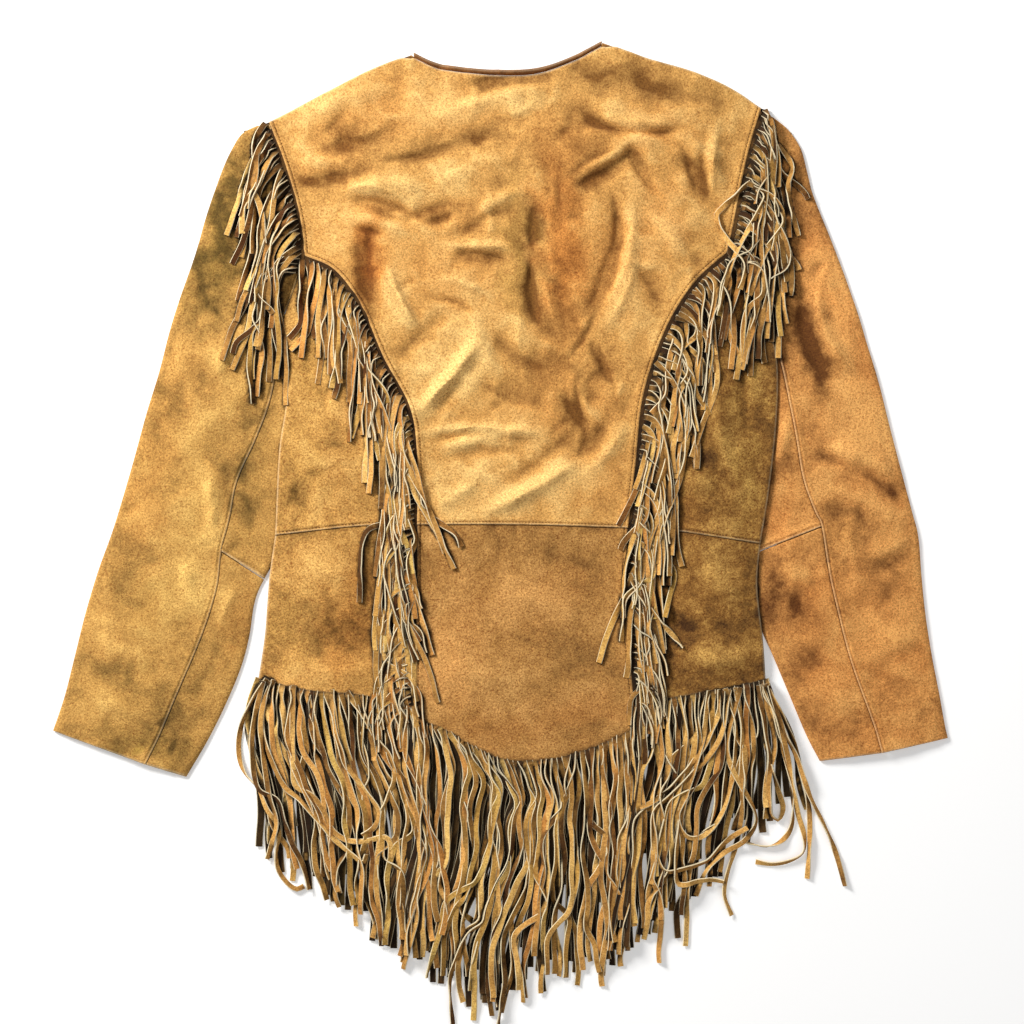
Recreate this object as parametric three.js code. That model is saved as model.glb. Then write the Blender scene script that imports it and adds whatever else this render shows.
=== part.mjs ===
// A fringed buckskin jacket lying flat on its front, back up.
// Millimetres. +X is the wearer's right, +Y runs towards the neck and +Z is up.
// The origin is on the surface it lies on, under the middle of the garment.
import * as THREE from 'three';

// Driving sizes
const WALL = 1.5;              // thickness of the suede
const SEAM_GAP = 0.3;          // between the edges of two pieces at a seam
const LAYER_GAP = 0.6;         // between two layers that lie on each other
const FLAT_HEIGHT = 2 * WALL + LAYER_GAP;
const BODY_CROWN = 2.6;        // extra room between back and fronts, mid body
const SLEEVE_CROWN = 2.4;      // extra room inside a sleeve, mid width
const TUCK_LIFT = 4.2;         // the body lies this much higher over a tucked sleeve
const FRONT_SEAM = 0.82;       // front sleeve seam, as a share from outer to inner fold
const CENTER_FRONT_X = 10;
const FRONT_HEM_FRINGE = 3.4;  // thickness of the fringe under the tail
const TAIL_LIFT = 2.9;         // the tail lies this much higher over that fringe
const BACK_FRINGE = 5;         // thickness of the fringe lying on the back and sleeves
const HEM_FRINGE = 12;         // thickness of the fringe hanging from the back hem
const FRINGE_CLEAR = 1.1;      // between a fringe and the panel under it
const BINDING_WIDTH = 5;

// Mesh divisions along each kind of edge
const ARMHOLE_ROWS = 6;
const UNDERARM_ROWS = 4;
const PRINCESS_ROWS = 9;
const LOWER_ROWS = 6;
const SHOULDER_COLUMNS = 5;
const NECK_COLUMNS = 6;
const FRONT_NECK_COLUMNS = 4;

const SUEDE = {
  back: { color: 0xc99a55, roughness: 0.92 },
  side: { color: 0xa9803f, roughness: 0.92 },
  front: { color: 0xb98a4a, roughness: 0.92 },
  sleeve: { color: 0xc08c48, roughness: 0.92 },
  under: { color: 0xa5763a, roughness: 0.92 },
  binding: { color: 0x8a5a2a, roughness: 0.85 },
  fringe: { color: 0xb98c4e, roughness: 0.95 },
  hidden: { color: 0x9b7038, roughness: 0.95 },
};

// A short table: each row becomes an object with the named columns
function table(columns, rows) {
  const names = columns.split(' ');
  return rows.map((row) => Object.fromEntries(names.map((name, k) => [name, row[k]])));
}

// Seams and edges of the left half, neck to hem
const LEFT = {
  shoulder: table('x y', [[-221, 389], [-160, 420], [-120, 440], [-83, 454]]),
  armhole: table('x y', [[-221, 389], [-208, 355], [-196, 316], [-189, 280], [-188, 262]]),
  underarm: table('x y', [[-188, 262], [-197, 230], [-208, 200]]),
  side: table('x y', [[-208, 200], [-204, 130], [-211, 78], [-215, -4]]),
  skirt: table('x y', [[-215, -4], [-220, -40], [-225, -98], [-231, -141]]),
  princess: table('x y', [
    [-188, 262], [-160, 249], [-135, 217], [-112, 165], [-86, 115], [-80, 70], [-80, 6],
  ]),
  lowerPrincess: table('x y', [[-80, 6], [-81, -80], [-83, -165]]),
  waist: table('x y', [[-215, -4], [-130, 5], [-80, 6]]),
  hem: table('x y', [[-231, -141], [-180, -152], [-140, -155], [-83, -165]]),
  tailCorner: { x: -82, y: -181 },
  frontNeck: table('x y', [[-83, 454], [-66, 408], [-32, 380], [CENTER_FRONT_X, 372]]),
};

// Seams and edges of the right half, neck to hem
const RIGHT = {
  shoulder: table('x y', [[247, 402], [220, 420], [180, 437], [140, 449], [95, 465]]),
  armhole: table('x y', [[247, 402], [236, 365], [228, 330], [221, 292], [215, 265]]),
  underarm: table('x y', [[215, 265], [236, 230], [254, 200]]),
  side: table('x y', [[254, 200], [262, 160], [261, 100], [253, 30], [246, -12]]),
  skirt: table('x y', [[246, -12], [243, -50], [248, -100], [251, -142]]),
  princess: table('x y', [
    [215, 265], [185, 238], [160, 200], [142, 155], [133, 120], [127, 60], [120, 3],
  ]),
  lowerPrincess: table('x y', [[120, 3], [118, -60], [121, -110], [126, -165]]),
  waist: table('x y', [[246, -12], [200, -5], [165, 0], [120, 3]]),
  hem: table('x y', [[251, -142], [212, -150], [188, -154], [126, -165]]),
  tailCorner: { x: 128, y: -186 },
  frontNeck: table('x y', [[95, 465], [82, 412], [48, 380], [CENTER_FRONT_X, 372]]),
};

const NECK = table('x y', [[-83, 454], [-60, 444], [0, 438], [40, 441], [70, 452], [95, 465]]);
const CENTER_WAIST = table('x y', [[-80, 6], [20, 6], [120, 3]]);
const TAIL_HEM = table('x y', [
  [-82, -181], [-60, -186], [-35, -201], [0, -217], [50, -216], [95, -202], [128, -186],
]);

// The head of each sleeve, shoulder to underarm: its outer fold
const LEFT_HEAD = table('x y', [
  [-231, 386.5], [-241, 384], [-258, 361], [-270, 332], [-281, 300], [-291, 265], [-306, 222],
]);
const RIGHT_HEAD = table('x y', [
  [257, 395], [270, 385], [284, 366], [296, 322], [311, 284], [326, 245], [340, 205],
]);

// Sleeve sections, underarm to cuff: outer fold, back seam and inner fold
const SECTION = 'outerX outerY seamX seamY innerX innerY';
const LEFT_SECTIONS = table(SECTION, [
  [-306, 222, -208, 200, -178, 192],
  [-316, 190, -213, 165, -174, 156],
  [-326, 151, -219, 127, -174, 117],
  [-338, 112, -233, 88, -180, 76],
  [-350, 68, -251, 48, -190, 36],
  [-361, 30, -259, 8, -202, -4],
  [-371, -2, -266, -20, -226, -46],
  [-384, -38, -270, -54, -235, -68],
  [-396, -78, -281, -90, -240, -100],
  [-406, -118, -295, -125, -248, -130],
  [-415, -154, -311, -162, -263, -166],
  [-422, -176, -324, -193, -280, -200],
  [-427, -190, -338, -222, -300, -234],
]);
const RIGHT_SECTIONS = table(SECTION, [
  [340, 205, 254, 200, 226, 192],
  [348, 178, 266, 158, 222, 150],
  [359, 142, 273, 124, 222, 112],
  [370, 98, 280, 88, 226, 74],
  [382, 52, 287, 48, 230, 34],
  [391, 18, 298, 18, 230, 2],
  [397, -6, 304, 4, 234, -24],
  [400, -44, 311, -40, 240, -58],
  [404, -82, 320, -80, 246, -90],
  [410, -120, 331, -122, 258, -118],
  [417, -156, 343, -156, 274, -156],
  [422, -184, 354, -186, 290, -194],
  [425, -197, 361, -211, 303, -219],
]);
const ELBOW_SECTION = 6;

// The largest folds of the back: a line on the cloth, its half width and its height
const BACK_FOLDS = table('x0 y0 x1 y1 width height', [
  [-150, 318, -60, 322, 16, 2.6],
  [-80, 115, -12, 192, 15, 3.0],
  [-50, 84, 44, 94, 14, 2.6],
  [-20, 16, 82, 74, 14, 2.4],
  [80, 380, 156, 366, 15, 2.4],
  [62, 336, 130, 338, 14, -1.6],
  [166, 352, 200, 308, 14, -1.8],
  [20, 262, 24, 150, 16, 2.0],
]);

const SLEEVE_FOLDS = table('x0 y0 x1 y1 width height', [
  [-300, 196, -250, 166, 14, 1.4],
  [-345, -60, -310, -96, 14, 1.2],
  [300, 196, 330, 146, 14, 1.6],
  [300, 66, 382, 34, 14, 1.6],
  [338, -70, 396, -36, 14, 1.2],
]);

// Edges of each fringe where it lies: root, both sides and tips
const PRINCESS_LEFT = {
  seam: table('x y', [
    [-186, 256], [-158, 246], [-133, 214], [-110, 162], [-82, 112], [-66, 60], [-60, -20],
    [-66, -100], [-86, -158],
  ]),
  tips: table('x y', [
    [-192, 246], [-180, 190], [-160, 120], [-134, 50], [-124, -30], [-122, -100], [-124, -150],
  ]),
};
const PRINCESS_RIGHT = {
  seam: table('x y', [
    [214, 258], [184, 232], [159, 195], [140, 150], [131, 112], [125, 55], [118, 0],
    [117, -60], [124, -150],
  ]),
  tips: table('x y', [
    [234, 218], [226, 160], [206, 110], [182, 40], [172, -30], [182, -100], [176, -148],
  ]),
};
const ARMHOLE_REACH = table('left right', [
  [6, 6], [14, 12], [32, 34], [44, 48], [54, 52], [58, 54], [58, 50], [52, 44],
  [46, 40], [40, 34], [34, 26], [22, 18],
]);
const HEM_CENTER = {
  left: table('x y', [[-81, -184], [-94, -260], [-97, -330], [-88, -398]]),
  right: table('x y', [[127, -190], [140, -250], [146, -330], [142, -400]]),
  tips: table('x y', [
    [-88, -398], [-62, -436], [-22, -458], [18, -466], [58, -458], [100, -438], [142, -400],
  ]),
};
const HEM_LEFT = {
  left: table('x y', [[-231, -144], [-245, -198], [-242, -250], [-222, -312]]),
  right: table('x y', [[-85, -169], [-98, -260], [-101, -330], [-92, -408]]),
  tips: table('x y', [[-222, -312], [-190, -350], [-158, -380], [-127, -400], [-92, -408]]),
};
const HEM_RIGHT = {
  left: table('x y', [[130, -170], [144, -250], [150, -330], [147, -402]]),
  right: table('x y', [[251, -145], [262, -200], [262, -262], [246, -330]]),
  tips: table('x y', [[147, -402], [180, -388], [206, -371], [228, -352], [246, -330]]),
};
const FRONT_LEFT_FRINGE = {
  left: table('x y', [[-230, -150], [-251, -195], [-246, -238], [-222, -305]]),
  right: table('x y', [[CENTER_FRONT_X - 2, -150], [CENTER_FRONT_X - 2, -330]]),
  tips: table('x y', [[-222, -305], [-120, -330], [CENTER_FRONT_X - 2, -330]]),
};
const FRONT_RIGHT_FRINGE = {
  left: table('x y', [[CENTER_FRONT_X + 2, -150], [CENTER_FRONT_X + 2, -330]]),
  right: table('x y', [[250, -150], [268, -184], [284, -240], [290, -292], [284, -330]]),
  tips: table('x y', [[CENTER_FRONT_X + 2, -330], [150, -338], [240, -338], [284, -330]]),
};
const FRONT_HEM_Y = -148;

// Numbers and curves

function smooth(from, to, value) {
  const t = Math.min(1, Math.max(0, (value - from) / (to - from)));
  return t * t * (3 - 2 * t);
}

function mix(a, b, t) {
  return { x: a.x + (b.x - a.x) * t, y: a.y + (b.y - a.y) * t };
}

function distance(a, b) {
  return Math.hypot(b.x - a.x, b.y - a.y);
}

// Evenly spaced points on a smooth curve through the rows of a table
function along(rows, count) {
  const points = rows.map((row) => new THREE.Vector3(row.x, row.y, 0));
  if (points.length === 2) {
    return Array.from({ length: count + 1 }, (_, k) => mix(rows[0], rows[1], k / count));
  }
  const curve = new THREE.CatmullRomCurve3(points, false, 'centripetal');
  return curve.getSpacedPoints(count).map((p) => ({ x: p.x, y: p.y }));
}

// Several runs of points joined end to end, each sharing its first point
function joined(...runs) {
  return runs.flatMap((run, k) => (k === 0 ? run : run.slice(1)));
}

function reversed(points) {
  return [...points].reverse();
}

// X of a rail at a height Y, for a rail that runs down the garment
function railX(rail, y) {
  const below = rail.findIndex((p) => p.y <= y);
  if (below === 0) {
    return rail[0].x;
  }
  if (below < 0) {
    return rail[rail.length - 1].x;
  }
  const a = rail[below - 1];
  const b = rail[below];
  return a.x + ((b.x - a.x) * (a.y - y)) / (a.y - b.y);
}

// Height functions

// Soft ridges and troughs, each fading out towards its ends
function foldHeight(folds, x, y) {
  let height = 0;
  for (const fold of folds) {
    const dx = fold.x1 - fold.x0;
    const dy = fold.y1 - fold.y0;
    const length = Math.hypot(dx, dy);
    const run = ((x - fold.x0) * dx + (y - fold.y0) * dy) / length;
    const away = ((x - fold.x0) * dy - (y - fold.y0) * dx) / length;
    const fade = smooth(-fold.width, fold.width, run) * smooth(-fold.width, fold.width, length - run);
    height += fold.height * fade * Math.exp(-((away / fold.width) ** 2));
  }
  return height;
}

const LEFT_RAIL = joined(
  along(LEFT.armhole, ARMHOLE_ROWS), along(LEFT.underarm, UNDERARM_ROWS),
  along(LEFT.side, PRINCESS_ROWS), along(LEFT.skirt, LOWER_ROWS),
);
const RIGHT_RAIL = joined(
  along(RIGHT.armhole, ARMHOLE_ROWS), along(RIGHT.underarm, UNDERARM_ROWS),
  along(RIGHT.side, PRINCESS_ROWS), along(RIGHT.skirt, LOWER_ROWS),
);

// How far the sleeves tucked under the body lift it
function tuckLift(x, y) {
  const left = (1 - smooth(-164, -112, x)) * (1 - smooth(206, 262, y)) * smooth(-112, -52, y);
  const right = smooth(150, 206, x) * (1 - smooth(206, 262, y)) * smooth(-146, -112, y);
  return TUCK_LIFT * Math.max(left, right);
}

function backBottom(x, y) {
  const inFromSides = smooth(0, 70, x - railX(LEFT_RAIL, y)) * smooth(0, 70, railX(RIGHT_RAIL, y) - x);
  const tail = TAIL_LIFT * (1 - smooth(-146, -90, y));
  const crown = Math.max(0, BODY_CROWN * inFromSides + foldHeight(BACK_FOLDS, x, y) * inFromSides);
  return WALL + LAYER_GAP + tuckLift(x, y) + tail + crown;
}

function backTop(x, y) {
  return backBottom(x, y) + WALL;
}

// Closed walls

// A closed wall from a grid of outer points and the matching inner points
function wall(columns, rows, outer, inner) {
  const positions = [];
  const index = [];
  const at = (side, i, j) => side * (columns + 1) * (rows + 1) + j * (columns + 1) + i;
  for (const face of [outer, inner]) {
    for (let j = 0; j <= rows; j++) {
      for (let i = 0; i <= columns; i++) {
        positions.push(...face(i, j));
      }
    }
  }
  const quad = (a, b, c, d) => index.push(a, b, c, a, c, d);
  for (let j = 0; j < rows; j++) {
    for (let i = 0; i < columns; i++) {
      quad(at(0, i, j), at(0, i + 1, j), at(0, i + 1, j + 1), at(0, i, j + 1));
      quad(at(1, i, j), at(1, i, j + 1), at(1, i + 1, j + 1), at(1, i + 1, j));
    }
  }
  for (let i = 0; i < columns; i++) {
    quad(at(0, i + 1, 0), at(0, i, 0), at(1, i, 0), at(1, i + 1, 0));
    quad(at(0, i, rows), at(0, i + 1, rows), at(1, i + 1, rows), at(1, i, rows));
  }
  for (let j = 0; j < rows; j++) {
    quad(at(0, 0, j), at(0, 0, j + 1), at(1, 0, j + 1), at(1, 0, j));
    quad(at(0, columns, j + 1), at(0, columns, j), at(1, columns, j), at(1, columns, j + 1));
  }
  return outwardGeometry(positions, index);
}

// An indexed geometry whose faces point out, whichever way its grid ran
function outwardGeometry(positions, index) {
  const point = (k) => new THREE.Vector3(...positions.slice(3 * k, 3 * k + 3));
  let volume = 0;
  for (let k = 0; k < index.length; k += 3) {
    const [a, b, c] = index.slice(k, k + 3).map(point);
    volume += a.dot(b.cross(c));
  }
  if (volume < 0) {
    index.reverse();
  }
  const geometry = new THREE.BufferGeometry();
  geometry.setAttribute('position', new THREE.Float32BufferAttribute(positions, 3));
  geometry.setIndex(index);
  geometry.computeVertexNormals();
  return geometry;
}

// Edges of a panel moved inwards by half a seam gap, with square corners kept
function inset(top, right, bottom, left, amount) {
  const loop = [...top, ...right.slice(1), ...reversed(bottom).slice(1), ...reversed(left).slice(1, -1)];
  const area = loop.reduce((sum, p, k) => {
    const q = loop[(k + 1) % loop.length];
    return sum + p.x * q.y - q.x * p.y;
  }, 0);
  const side = Math.sign(area) * amount;
  const moved = loop.map((p, k) => {
    const before = loop[(k + loop.length - 1) % loop.length];
    const after = loop[(k + 1) % loop.length];
    const na = { x: -(p.y - before.y) / distance(p, before), y: (p.x - before.x) / distance(p, before) };
    const nb = { x: -(after.y - p.y) / distance(p, after), y: (after.x - p.x) / distance(p, after) };
    const spread = Math.max(0.35, 1 + na.x * nb.x + na.y * nb.y);
    return { x: p.x + (side * (na.x + nb.x)) / spread, y: p.y + (side * (na.y + nb.y)) / spread };
  });
  const a = top.length - 1;
  const b = a + right.length - 1;
  const c = b + bottom.length - 1;
  return {
    top: moved.slice(0, a + 1),
    right: moved.slice(a, b + 1),
    bottom: reversed(moved.slice(b, c + 1)),
    left: reversed([...moved.slice(c), moved[0]]),
  };
}

// The point of a four-sided patch between its edges
function patchPoint(edges, u, v, i, j) {
  const { top, right, bottom, left } = edges;
  const last = { i: top.length - 1, j: left.length - 1 };
  const blend = (axis) => {
    const rails = (1 - u) * left[j][axis] + u * right[j][axis];
    const ends = (1 - v) * top[i][axis] + v * bottom[i][axis];
    const corners = (1 - u) * (1 - v) * top[0][axis] + u * (1 - v) * top[last.i][axis]
      + (1 - u) * v * bottom[0][axis] + u * v * bottom[last.i][axis];
    return rails + ends - corners;
  };
  return { x: blend('x'), y: blend('y') };
}

// A wall over a four-sided patch, between two height functions
function panel(edges, low, high, gap = SEAM_GAP / 2) {
  const trimmed = inset(edges.top, edges.right, edges.bottom, edges.left, gap);
  const columns = edges.top.length - 1;
  const rows = edges.left.length - 1;
  const place = (height) => (i, j) => {
    const p = patchPoint(trimmed, i / columns, j / rows, i, j);
    return [p.x, p.y, height(p.x, p.y, i / columns, j / rows)];
  };
  return wall(columns, rows, place(high), place(low));
}

// Back and front panels

function backCenterUpper() {
  const top = joined(
    along(LEFT.shoulder, SHOULDER_COLUMNS), along(NECK, NECK_COLUMNS),
    reversed(along(RIGHT.shoulder, SHOULDER_COLUMNS)),
  ).map((p, k) => ({
    x: p.x,
    y: p.y - (k >= SHOULDER_COLUMNS && k <= SHOULDER_COLUMNS + NECK_COLUMNS ? BINDING_WIDTH : 0),
  }));
  const edges = {
    top,
    left: joined(along(LEFT.armhole, ARMHOLE_ROWS), along(LEFT.princess, PRINCESS_ROWS)),
    right: joined(along(RIGHT.armhole, ARMHOLE_ROWS), along(RIGHT.princess, PRINCESS_ROWS)),
    bottom: along(CENTER_WAIST, 2 * SHOULDER_COLUMNS + NECK_COLUMNS),
  };
  return panel(edges, backBottom, backTop);
}

function backTail() {
  const columns = 2 * SHOULDER_COLUMNS + NECK_COLUMNS;
  const edges = {
    top: along(CENTER_WAIST, columns),
    left: [...along(LEFT.lowerPrincess, LOWER_ROWS), LEFT.tailCorner],
    right: [...along(RIGHT.lowerPrincess, LOWER_ROWS), RIGHT.tailCorner],
    bottom: along(TAIL_HEM, columns),
  };
  return panel(edges, backBottom, backTop);
}

function sideBackUpper(half) {
  const edges = {
    top: reversed(along(half.underarm, UNDERARM_ROWS)),
    left: along(half.side, PRINCESS_ROWS),
    right: along(half.princess, PRINCESS_ROWS),
    bottom: along(half.waist, UNDERARM_ROWS),
  };
  return panel(edges, backBottom, backTop);
}

function sideBackLower(half) {
  const edges = {
    top: along(half.waist, UNDERARM_ROWS),
    left: along(half.skirt, LOWER_ROWS),
    right: along(half.lowerPrincess, LOWER_ROWS),
    bottom: along(half.hem, UNDERARM_ROWS),
  };
  return panel(edges, backBottom, backTop);
}

function front(half) {
  const rows = ARMHOLE_ROWS + UNDERARM_ROWS + PRINCESS_ROWS + LOWER_ROWS;
  const columns = SHOULDER_COLUMNS + FRONT_NECK_COLUMNS;
  const neck = along(half.frontNeck, FRONT_NECK_COLUMNS);
  const side = joined(
    along(half.armhole, ARMHOLE_ROWS), along(half.underarm, UNDERARM_ROWS),
    along(half.side, PRINCESS_ROWS), along(half.skirt, LOWER_ROWS),
  );
  const low = { x: CENTER_FRONT_X, y: FRONT_HEM_Y };
  const corner = { x: side[rows].x, y: FRONT_HEM_Y };
  const edges = {
    top: joined(along(half.shoulder, SHOULDER_COLUMNS), neck),
    left: [...side.slice(0, rows), corner],
    right: along([neck[FRONT_NECK_COLUMNS], low], rows),
    bottom: along([corner, low], columns),
  };
  return panel(edges, tuckLift, (x, y) => tuckLift(x, y) + WALL);
}

function neckBinding() {
  const top = along(NECK, NECK_COLUMNS);
  const bottom = top.map((p) => ({ x: p.x, y: p.y - BINDING_WIDTH }));
  const edges = {
    top,
    bottom,
    left: along([top[0], bottom[0]], 1),
    right: along([top[top.length - 1], bottom[bottom.length - 1]], 1),
  };
  return panel(edges, backBottom, (x, y) => backTop(x, y) + WALL / 2);
}

// Sleeves: a flattened tube, ring by ring from the shoulder to the cuff

// Rings of one sleeve: outer fold, seam and inner fold, which are one line at the armhole
function sleeveRings(half, head, sections) {
  const seam = joined(along(half.armhole, ARMHOLE_ROWS), along(half.underarm, UNDERARM_ROWS));
  const folds = along(head, ARMHOLE_ROWS + UNDERARM_ROWS);
  const rings = seam.slice(0, -1).map((p, k) => ({ outer: folds[k], seam: p, inner: null }));
  for (const row of sections) {
    rings.push({
      outer: { x: row.outerX, y: row.outerY },
      seam: { x: row.seamX, y: row.seamY },
      inner: { x: row.innerX, y: row.innerY },
    });
  }
  return rings;
}

// A point on a ring's flat outline, from the outer fold (0) past the seam to the inner fold (1)
function ringPoint(ring, share) {
  if (!ring.inner) {
    return mix(ring.outer, ring.seam, share);
  }
  const seamShare = ringSeam(ring);
  if (share <= seamShare) {
    return mix(ring.outer, ring.seam, share / seamShare);
  }
  return mix(ring.seam, ring.inner, (share - seamShare) / (1 - seamShare));
}

function ringSeam(ring) {
  if (!ring.inner) {
    return 1;
  }
  const outside = distance(ring.outer, ring.seam);
  return outside / (outside + distance(ring.seam, ring.inner));
}

function ringWidth(ring) {
  return ring.inner
    ? distance(ring.outer, ring.seam) + distance(ring.seam, ring.inner)
    : distance(ring.outer, ring.seam);
}

// Height of the sleeve's upper face: flat where it tucks under the body
function sleeveTop(ring, share) {
  const p = ringPoint(ring, share);
  const span = ring.inner ? 0.72 : 1;
  const arch = share < span ? Math.sin((Math.PI * share) / span) : 0;
  const crown = SLEEVE_CROWN * arch * smooth(20, 90, ringWidth(ring));
  return FLAT_HEIGHT + crown + foldHeight(SLEEVE_FOLDS, p.x, p.y) * arch;
}

// Outer and inner points of a ring from one seam round a fold to the other
function ringWall(ring, piece, topCells, bottomCells) {
  const width = ringWidth(ring);
  const half = FLAT_HEIGHT / 2;
  const gap = SEAM_GAP / 2 / width;
  const isUpper = piece === 'upper';
  const foldShare = isUpper ? half / width : 1 - half / width;
  const topShare = isUpper ? ringSeam(ring) - gap : ringSeam(ring) + gap;
  const bottomSeam = ring.inner ? FRONT_SEAM : 1;
  const bottomShare = isUpper ? bottomSeam - gap : bottomSeam + gap;
  const points = [];
  for (let k = 0; k <= topCells; k++) {
    const share = topShare + ((foldShare - topShare) * k) / topCells;
    const p = ringPoint(ring, share);
    const z = sleeveTop(ring, share);
    points.push({ outer: [p.x, p.y, z], inner: [p.x, p.y, z - WALL] });
  }
  const tip = ringPoint(ring, isUpper ? 0 : 1);
  const inside = ringPoint(ring, isUpper ? WALL / width : 1 - WALL / width);
  points.push({ outer: [tip.x, tip.y, half], inner: [inside.x, inside.y, half] });
  for (let k = 0; k <= bottomCells; k++) {
    const share = foldShare + ((bottomShare - foldShare) * k) / bottomCells;
    const p = ringPoint(ring, share);
    points.push({ outer: [p.x, p.y, 0], inner: [p.x, p.y, WALL] });
  }
  return points;
}

function sleevePiece(rings, piece, topCells, bottomCells) {
  const walls = rings.map((ring) => ringWall(ring, piece, topCells, bottomCells));
  const columns = walls[0].length - 1;
  return wall(columns, rings.length - 1, (i, j) => walls[j][i].outer, (i, j) => walls[j][i].inner);
}

// A ring moved along the sleeve by half a seam gap, for the ends of the under sleeve
function nudged(ring, towards, amount) {
  const move = (key) => mix(ring[key], towards[key], amount / distance(ring[key], towards[key]));
  return { outer: move('outer'), seam: move('seam'), inner: move('inner') };
}

// Fringes

// A fringe lying on the back, between its root at a seam and its tips
function backFringe(shape, rows, columns) {
  const seam = along(shape.seam, rows);
  const tips = along(shape.tips, rows);
  const edges = {
    left: seam,
    right: tips,
    top: along([seam[0], tips[0]], columns),
    bottom: along([seam[rows], tips[rows]], columns),
  };
  const low = (x, y) => backTop(x, y) + FRINGE_CLEAR;
  const thick = (u, v) => BACK_FRINGE * (0.45 + 0.55 * Math.sin(Math.PI * u) * Math.sin(Math.PI * v));
  return panel(edges, low, (x, y, u, v) => low(x, y) + thick(u, v));
}

// A fringe lying on a sleeve, out from the armhole seam
function armholeFringe(rings, reaches) {
  const columns = 3;
  const first = 1;
  const place = (lift) => (i, j) => {
    const ring = rings[j + first];
    const out = 1.5 + ((reaches[j] - 1.5) * i) / columns;
    const share = ringSeam(ring) - out / ringWidth(ring);
    const p = ringPoint(ring, share);
    const arch = Math.sin((Math.PI * i) / columns) * Math.sin((Math.PI * j) / (reaches.length - 1));
    return [p.x, p.y, sleeveTop(ring, share) + FRINGE_CLEAR + lift * (0.45 + 0.55 * arch)];
  };
  return wall(columns, reaches.length - 1, place(BACK_FRINGE), place(0));
}

// The tips of the front armhole fringe, which reach past the outer fold of the sleeve head
function frontArmholeFringe(rings, reach) {
  const rows = 3;
  const first = 1;
  const columns = 1;
  const place = (z) => (i, j) => {
    const ring = rings[j + first];
    const width = ringWidth(ring);
    const out = 0.5 + (reach * Math.sin((Math.PI * (j + 0.5)) / (rows + 1)) * i) / columns;
    const share = -out / width;
    const p = mix(ring.outer, ring.seam, share);
    return [p.x, p.y, z];
  };
  return wall(columns, rows, place(FLAT_HEIGHT), place(0));
}

// A fringe hanging from a hem: it lies over the front fringe and then on the ground
function hemFringe(shape, root, columns, rows) {
  const edges = {
    top: root,
    left: along(shape.left, rows),
    right: along(shape.right, rows),
    bottom: along(shape.tips, columns),
  };
  edges.left[0] = root[0];
  edges.right[0] = root[columns];
  const low = (x, y) => (FRONT_HEM_FRINGE + LAYER_GAP) * smooth(-380, -346, y);
  const thick = (u, v) => HEM_FRINGE * (0.4 + 0.6 * Math.sin(Math.PI * Math.min(1, 0.15 + 0.75 * v)));
  return panel(edges, low, (x, y, u, v) => low(x, y) + thick(u, v));
}

function frontHemFringe(shape, columns, rows) {
  const edges = {
    left: along(shape.left, rows),
    right: along(shape.right, rows),
    bottom: along(shape.tips, columns),
  };
  edges.top = along([edges.left[0], edges.right[0]], columns);
  return panel(edges, () => 0, () => FRONT_HEM_FRINGE);
}

// Points just below a hem, where its fringe begins
function below(points, amount) {
  return points.map((p) => ({ x: p.x, y: p.y - amount }));
}

// Assembly

const jacket = new THREE.Group();

function add(name, geometry, finish) {
  const mesh = new THREE.Mesh(geometry, new THREE.MeshStandardMaterial({ ...finish, metalness: 0 }));
  mesh.name = name;
  jacket.add(mesh);
}

add('back_center_upper', backCenterUpper(), SUEDE.back);
add('back_tail', backTail(), SUEDE.back);
add('neck_binding', neckBinding(), SUEDE.binding);

const HALVES = [
  { name: 'left', half: LEFT, head: LEFT_HEAD, sections: LEFT_SECTIONS, princess: PRINCESS_LEFT },
  { name: 'right', half: RIGHT, head: RIGHT_HEAD, sections: RIGHT_SECTIONS, princess: PRINCESS_RIGHT },
];

for (const { name, half, head, sections, princess } of HALVES) {
  add(`side_back_upper_${name}`, sideBackUpper(half), SUEDE.side);
  add(`side_back_lower_${name}`, sideBackLower(half), SUEDE.side);
  add(`front_${name}`, front(half), SUEDE.front);

  const rings = sleeveRings(half, head, sections);
  const underarm = ARMHOLE_ROWS + UNDERARM_ROWS;
  const elbow = underarm + ELBOW_SECTION;
  add(`sleeve_upper_${name}`, sleevePiece(rings, 'upper', 4, 2), SUEDE.sleeve);
  const above = rings.slice(underarm, elbow + 1);
  above[above.length - 1] = nudged(rings[elbow], rings[elbow - 1], SEAM_GAP);
  add(`sleeve_under_upper_${name}`, sleevePiece(above, 'under', 2, 1), SUEDE.under);
  const lower = rings.slice(elbow);
  lower[0] = nudged(rings[elbow], rings[elbow + 1], SEAM_GAP);
  add(`sleeve_under_lower_${name}`, sleevePiece(lower, 'under', 2, 1), SUEDE.under);

  add(`fringe_princess_${name}`, backFringe(princess, 14, 3), SUEDE.fringe);
  add(`fringe_armhole_${name}`, armholeFringe(rings, ARMHOLE_REACH.map((row) => row[name])), SUEDE.fringe);
  add(`fringe_front_armhole_${name}`, frontArmholeFringe(rings, 8), SUEDE.hidden);
}

const TAIL_FRINGE_GAP = 1.5;
const tailRoot = below(along(TAIL_HEM, 12), TAIL_FRINGE_GAP);
add('fringe_hem_center', hemFringe(HEM_CENTER, tailRoot, 12, 8), SUEDE.fringe);
const leftRoot = below(along(LEFT.hem, 6), TAIL_FRINGE_GAP);
add('fringe_hem_side_left', hemFringe(HEM_LEFT, leftRoot, 6, 8), SUEDE.fringe);
const rightRoot = reversed(below(along(RIGHT.hem, 6), TAIL_FRINGE_GAP));
add('fringe_hem_side_right', hemFringe(HEM_RIGHT, rightRoot, 6, 8), SUEDE.fringe);
add('fringe_hem_front_left', frontHemFringe(FRONT_LEFT_FRINGE, 5, 5), SUEDE.hidden);
add('fringe_hem_front_right', frontHemFringe(FRONT_RIGHT_FRINGE, 5, 5), SUEDE.hidden);

export default jacket;
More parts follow.
